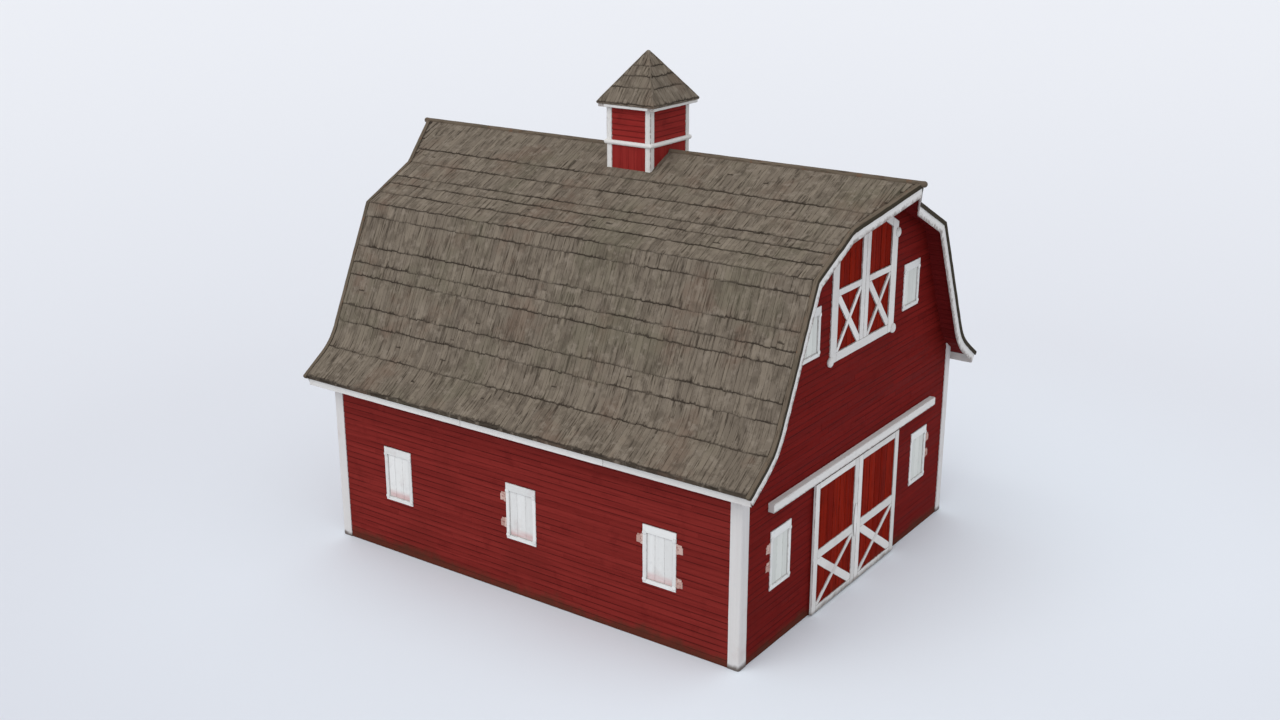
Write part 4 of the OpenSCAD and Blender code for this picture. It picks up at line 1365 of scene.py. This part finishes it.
def cupola_hip(m, edge, rise, sx, sy):
    """A thin roll along one hip."""
    ex, ey = CUP_EAVE
    along = Vector((sx * ex, sy * ey, -rise)).normalized()
    side = along.cross(Vector((0, 0, 1))).normalized()
    lift = side.cross(along)
    rings = []
    for k in range(15):
        t = k / 14
        r = (0.014 + rng.uniform(-0.002, 0.002)) * (0.7 if k in (0, 14) else 1.0)
        far = 0.04 + 0.945 * t
        mid = Vector((sx * ex * far, sy * ey * far, edge - 0.016 + rise * (0.96 - 0.945 * t)))
        ring = []
        for a in circle(10):
            co = mid + side * (r * cos(a)) + lift * (r * sin(a))
            ring.append((co, (t, 0.03 * a, sx + sy), (0.5, 0.5, NO_EDGE)))
        rings.append(ring)
    m.loft(rings)


def cupola_peak(m, ball=0.068):
    """The small rounded peak."""
    rings = []
    for k in range(7):
        a = radians(-30 + 19 * k)
        r = ball * cos(a)
        z = PEAK_Z - ball - 0.0005 + ball * sin(a)
        rings.append(
            [(Vector((r * cos(b), r * sin(b), z)), (b, a, 0.0), (0.4, 0.4, NO_EDGE)) for b in circle(16)]
        )
    m.loft(rings)


def make_cupola_roof():
    m = Mesh()
    edge = CUP_EAVE_Z + 0.04
    rise = PEAK_Z + 0.026 - edge
    cupola_core(m, edge)
    for sx, sy in ((1, 0), (-1, 0), (0, 1), (0, -1)):
        cupola_slope(m, edge, rise, sx, sy)
    for sx, sy in EACH_CORNER:
        cupola_hip(m, edge, rise, sx, sy)
    cupola_peak(m)
    m.build("cupola_roof_shakes", SHAKES, "shingles", ["cupola_roof"])


# ---- inside
def bar(m, a, b, width, depth, side):
    """A timber with bevelled edges from a to b. side is the direction across its width."""
    along = (b - a).normalized()
    side = Vector(side).normalized()
    other = along.cross(side)
    tint = rng.random()
    shift = rng.uniform(0, 30)
    bevel = 0.006
    outline = []
    for sx, sy in ROUND_CORNERS:
        p, q = (bevel, 0) if sx == sy else (0, bevel)
        outline.append((sx * (width / 2 - p), sy * (depth / 2 - q)))
        outline.append((sx * (width / 2 - q), sy * (depth / 2 - p)))
    rings = []
    for t in (0.0, 0.5, 1.0):
        mid = a + (b - a) * t
        grain = (b - a).length * t + shift
        ring = []
        for p, q in outline:
            ring.append((mid + side * p + other * q, (grain, p - q, 0.0), (tint, 0.9, NO_EDGE)))
        rings.append(ring)
    m.loft(rings)


def make_inside():
    """Studs and rails along the side walls, and knee braces from the posts to the beams."""
    studs = Mesh()
    for side in SIDES:
        x = side * (HALF_W - WALL_T - 0.045)
        for i in range(19):
            y = -5.4 + 0.6 * i
            if min(abs(y - p) for p in SIDE_PLACES) >= 0.35:
                bar(studs, Vector((x, y, FLOOR_Z)), Vector((x, y, 4.35)), 0.045, 0.09, (0, 1, 0))
        for z in (FLOOR_Z + 0.03, 1.2, 2.95):
            ends = [Vector((x, y, z)) for y in (-HALF_L + 0.17, HALF_L - 0.17)]
            bar(studs, *ends, 0.06, 0.088, (0, 0, 1))
    studs.build("wall_studs", TIMBER, "timber")
    knees = Mesh()
    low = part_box("loft_beams")[0].z
    for y in (-3, 0, 3):
        for side, reach in EACH_CORNER:
            post = Vector((side * 2.4 + reach * 0.06, y, low - 0.85))
            beam = Vector((side * 2.4 + reach * 0.9, y, low + 0.02))
            bar(knees, post, beam, 0.10, 0.10, (0, 1, 0))
    knees.build("knee_braces", TIMBER, "timber")


# ---- CAD nodes that stay
def repaint(material, *names):
    for name in names:
        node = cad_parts[name]
        if not node.data.materials:
            node.data.materials.append(material)
        for spot in node.material_slots:
            spot.material = material


def repaint_cad():
    repaint(SIDING_BACK, "left_wall", "right_wall", "front_wall_left", "front_wall_right")
    repaint(SIDING_BACK, "front_gable", "back_wall", "back_gable", "cupola_walls")
    repaint(SOFFIT_BACK, "roof_deck_left", "roof_deck_right")
    repaint(SHAKES_UNDER, "upper_shingles_left", "upper_shingles_right")
    repaint(SHAKES_UNDER, "lower_shingles_left", "lower_shingles_right")
    repaint(TIMBER_CAD["y"], "loft_floor", "loft_joists")
    repaint(TIMBER_CAD["x"], "loft_beams")
    repaint(TIMBER_CAD["z"], "loft_posts")
    repaint(CONCRETE, "ground_floor")
    repaint(STEEL, "door_track", "left_door_hangers", "right_door_hangers")


# ---- stage
# Painted light: the floor is made lighter close to the barn, lifting the shadows round it.
FLOOR_PAINTED_LIGHT_BY_BARN = (0.86, 0.905, 0.965, 1)
# Floor tones from near to far and at the rim: a painted falloff of light.
FLOOR_NEAR = (0.68, 0.70, 0.76, 1)
FLOOR_FAR = (0.84, 0.85, 0.885, 1)
FLOOR_RIM = (0.815, 0.82, 0.829, 1)
FLOOR_REACH = 900.0
SHADE_MID = (-16.3, -11.5, 0.0)
BARN_MID = (0.6, -2.0, 0.0)
SKY = (0.95, 0.97, 1.0, 1)
SKY_STRENGTH = 0.875
SUN_ENERGY = 0.76
SUN_COLOUR = (1.0, 0.985, 0.96)
SUN_ANGLE = 50
SUN_FROM = (-0.68, 0.16, 0.71)
CAMERA_AT = (-28.258, -19.675, 16.035)
CAMERA_DOWN = 18.72
CAMERA_TURN = -54.83
LENS = 41.26


def place_object(name, data):
    found = bpy.data.objects.new(name, data)
    bpy.context.scene.collection.objects.link(found)
    return found


def make_stage():
    """A floor with painted light: lighter in rings farther from a point in front of the barn, a painted
    falloff of light, and lighter still close to the barn, lifting the shadows round it.
    """
    mesh = bpy.data.meshes.new("floor")
    rim = [(FLOOR_REACH * cos(a), FLOOR_REACH * sin(a), -0.002) for a in circle(96)]
    mesh.from_pydata(rim, [], [tuple(range(len(rim)))])
    floor = place_object("floor", mesh)
    mat = bpy.data.materials.new("floor_painted_light")
    mat.use_nodes = True
    tree = mat.node_tree
    shader = tree.nodes["Principled BSDF"]
    place = add(tree, "TexCoord").outputs["Object"]
    measure = {"operation": "DISTANCE"}
    # Painted light: the floor grows lighter in rings of distance from SHADE_MID, standing for the light's
    # falloff.
    far = calc(tree, "LOGARITHM", add(tree, "VectorMath", measure, i0=place, i1=SHADE_MID).outputs[1], exp(1))
    open_floor = mix(tree, ramp(tree, far, 2.0, 5.4), FLOOR_NEAR, FLOOR_FAR)
    open_floor = mix(tree, ramp(tree, far, 5.2, 6.3), open_floor, FLOOR_RIM)
    # Painted light: lightest within 4 m of BARN_MID, fading into the open floor by 21 m.
    away = add(tree, "VectorMath", measure, i0=place, i1=BARN_MID).outputs[1]
    shade = mix(tree, ramp(tree, away, 4.0, 21.0), FLOOR_PAINTED_LIGHT_BY_BARN, open_floor)
    tree.links.new(shade, shader.inputs["Base Color"])
    shader.inputs["Roughness"].default_value = 0.9
    shader.inputs["Specular IOR Level"].default_value = 0.2
    mesh.materials.append(mat)


def make_light():
    bpy.context.scene.view_settings.view_transform = "Standard"
    world = bpy.data.worlds.new("studio")
    bpy.context.scene.world = world
    world.use_nodes = True
    back = world.node_tree.nodes["Background"]
    back.inputs[0].default_value = SKY
    back.inputs[1].default_value = SKY_STRENGTH
    lamp = bpy.data.lights.new("key", "SUN")
    lamp.energy = SUN_ENERGY
    lamp.angle = radians(SUN_ANGLE)
    lamp.color = SUN_COLOUR
    place_object("key", lamp).rotation_euler = Vector(SUN_FROM).to_track_quat("Z", "Y").to_euler()


def make_camera():
    data = bpy.data.cameras.new("camera")
    data.sensor_width = 36.0
    data.lens = LENS
    data.clip_end = 2000.0
    camera = place_object("camera", data)
    camera.location = CAMERA_AT
    camera.rotation_euler = (radians(90 - CAMERA_DOWN), 0.0, radians(CAMERA_TURN))
    bpy.context.scene.camera = camera


make_siding()
make_shakes()
make_gable_edges()
make_ridge_roll()
make_soffit_boards()
make_eave_fascia()
make_corner_boards()
make_shutters()
make_hinges()
make_hay_doors()
make_leaves()
make_doorway_casing()
make_track_cover()
make_cupola_walls()
make_cupola_posts()
make_cupola_band()
make_cupola_fascia()
make_cupola_roof()
make_inside()
repaint_cad()
make_stage()
make_light()
make_camera()
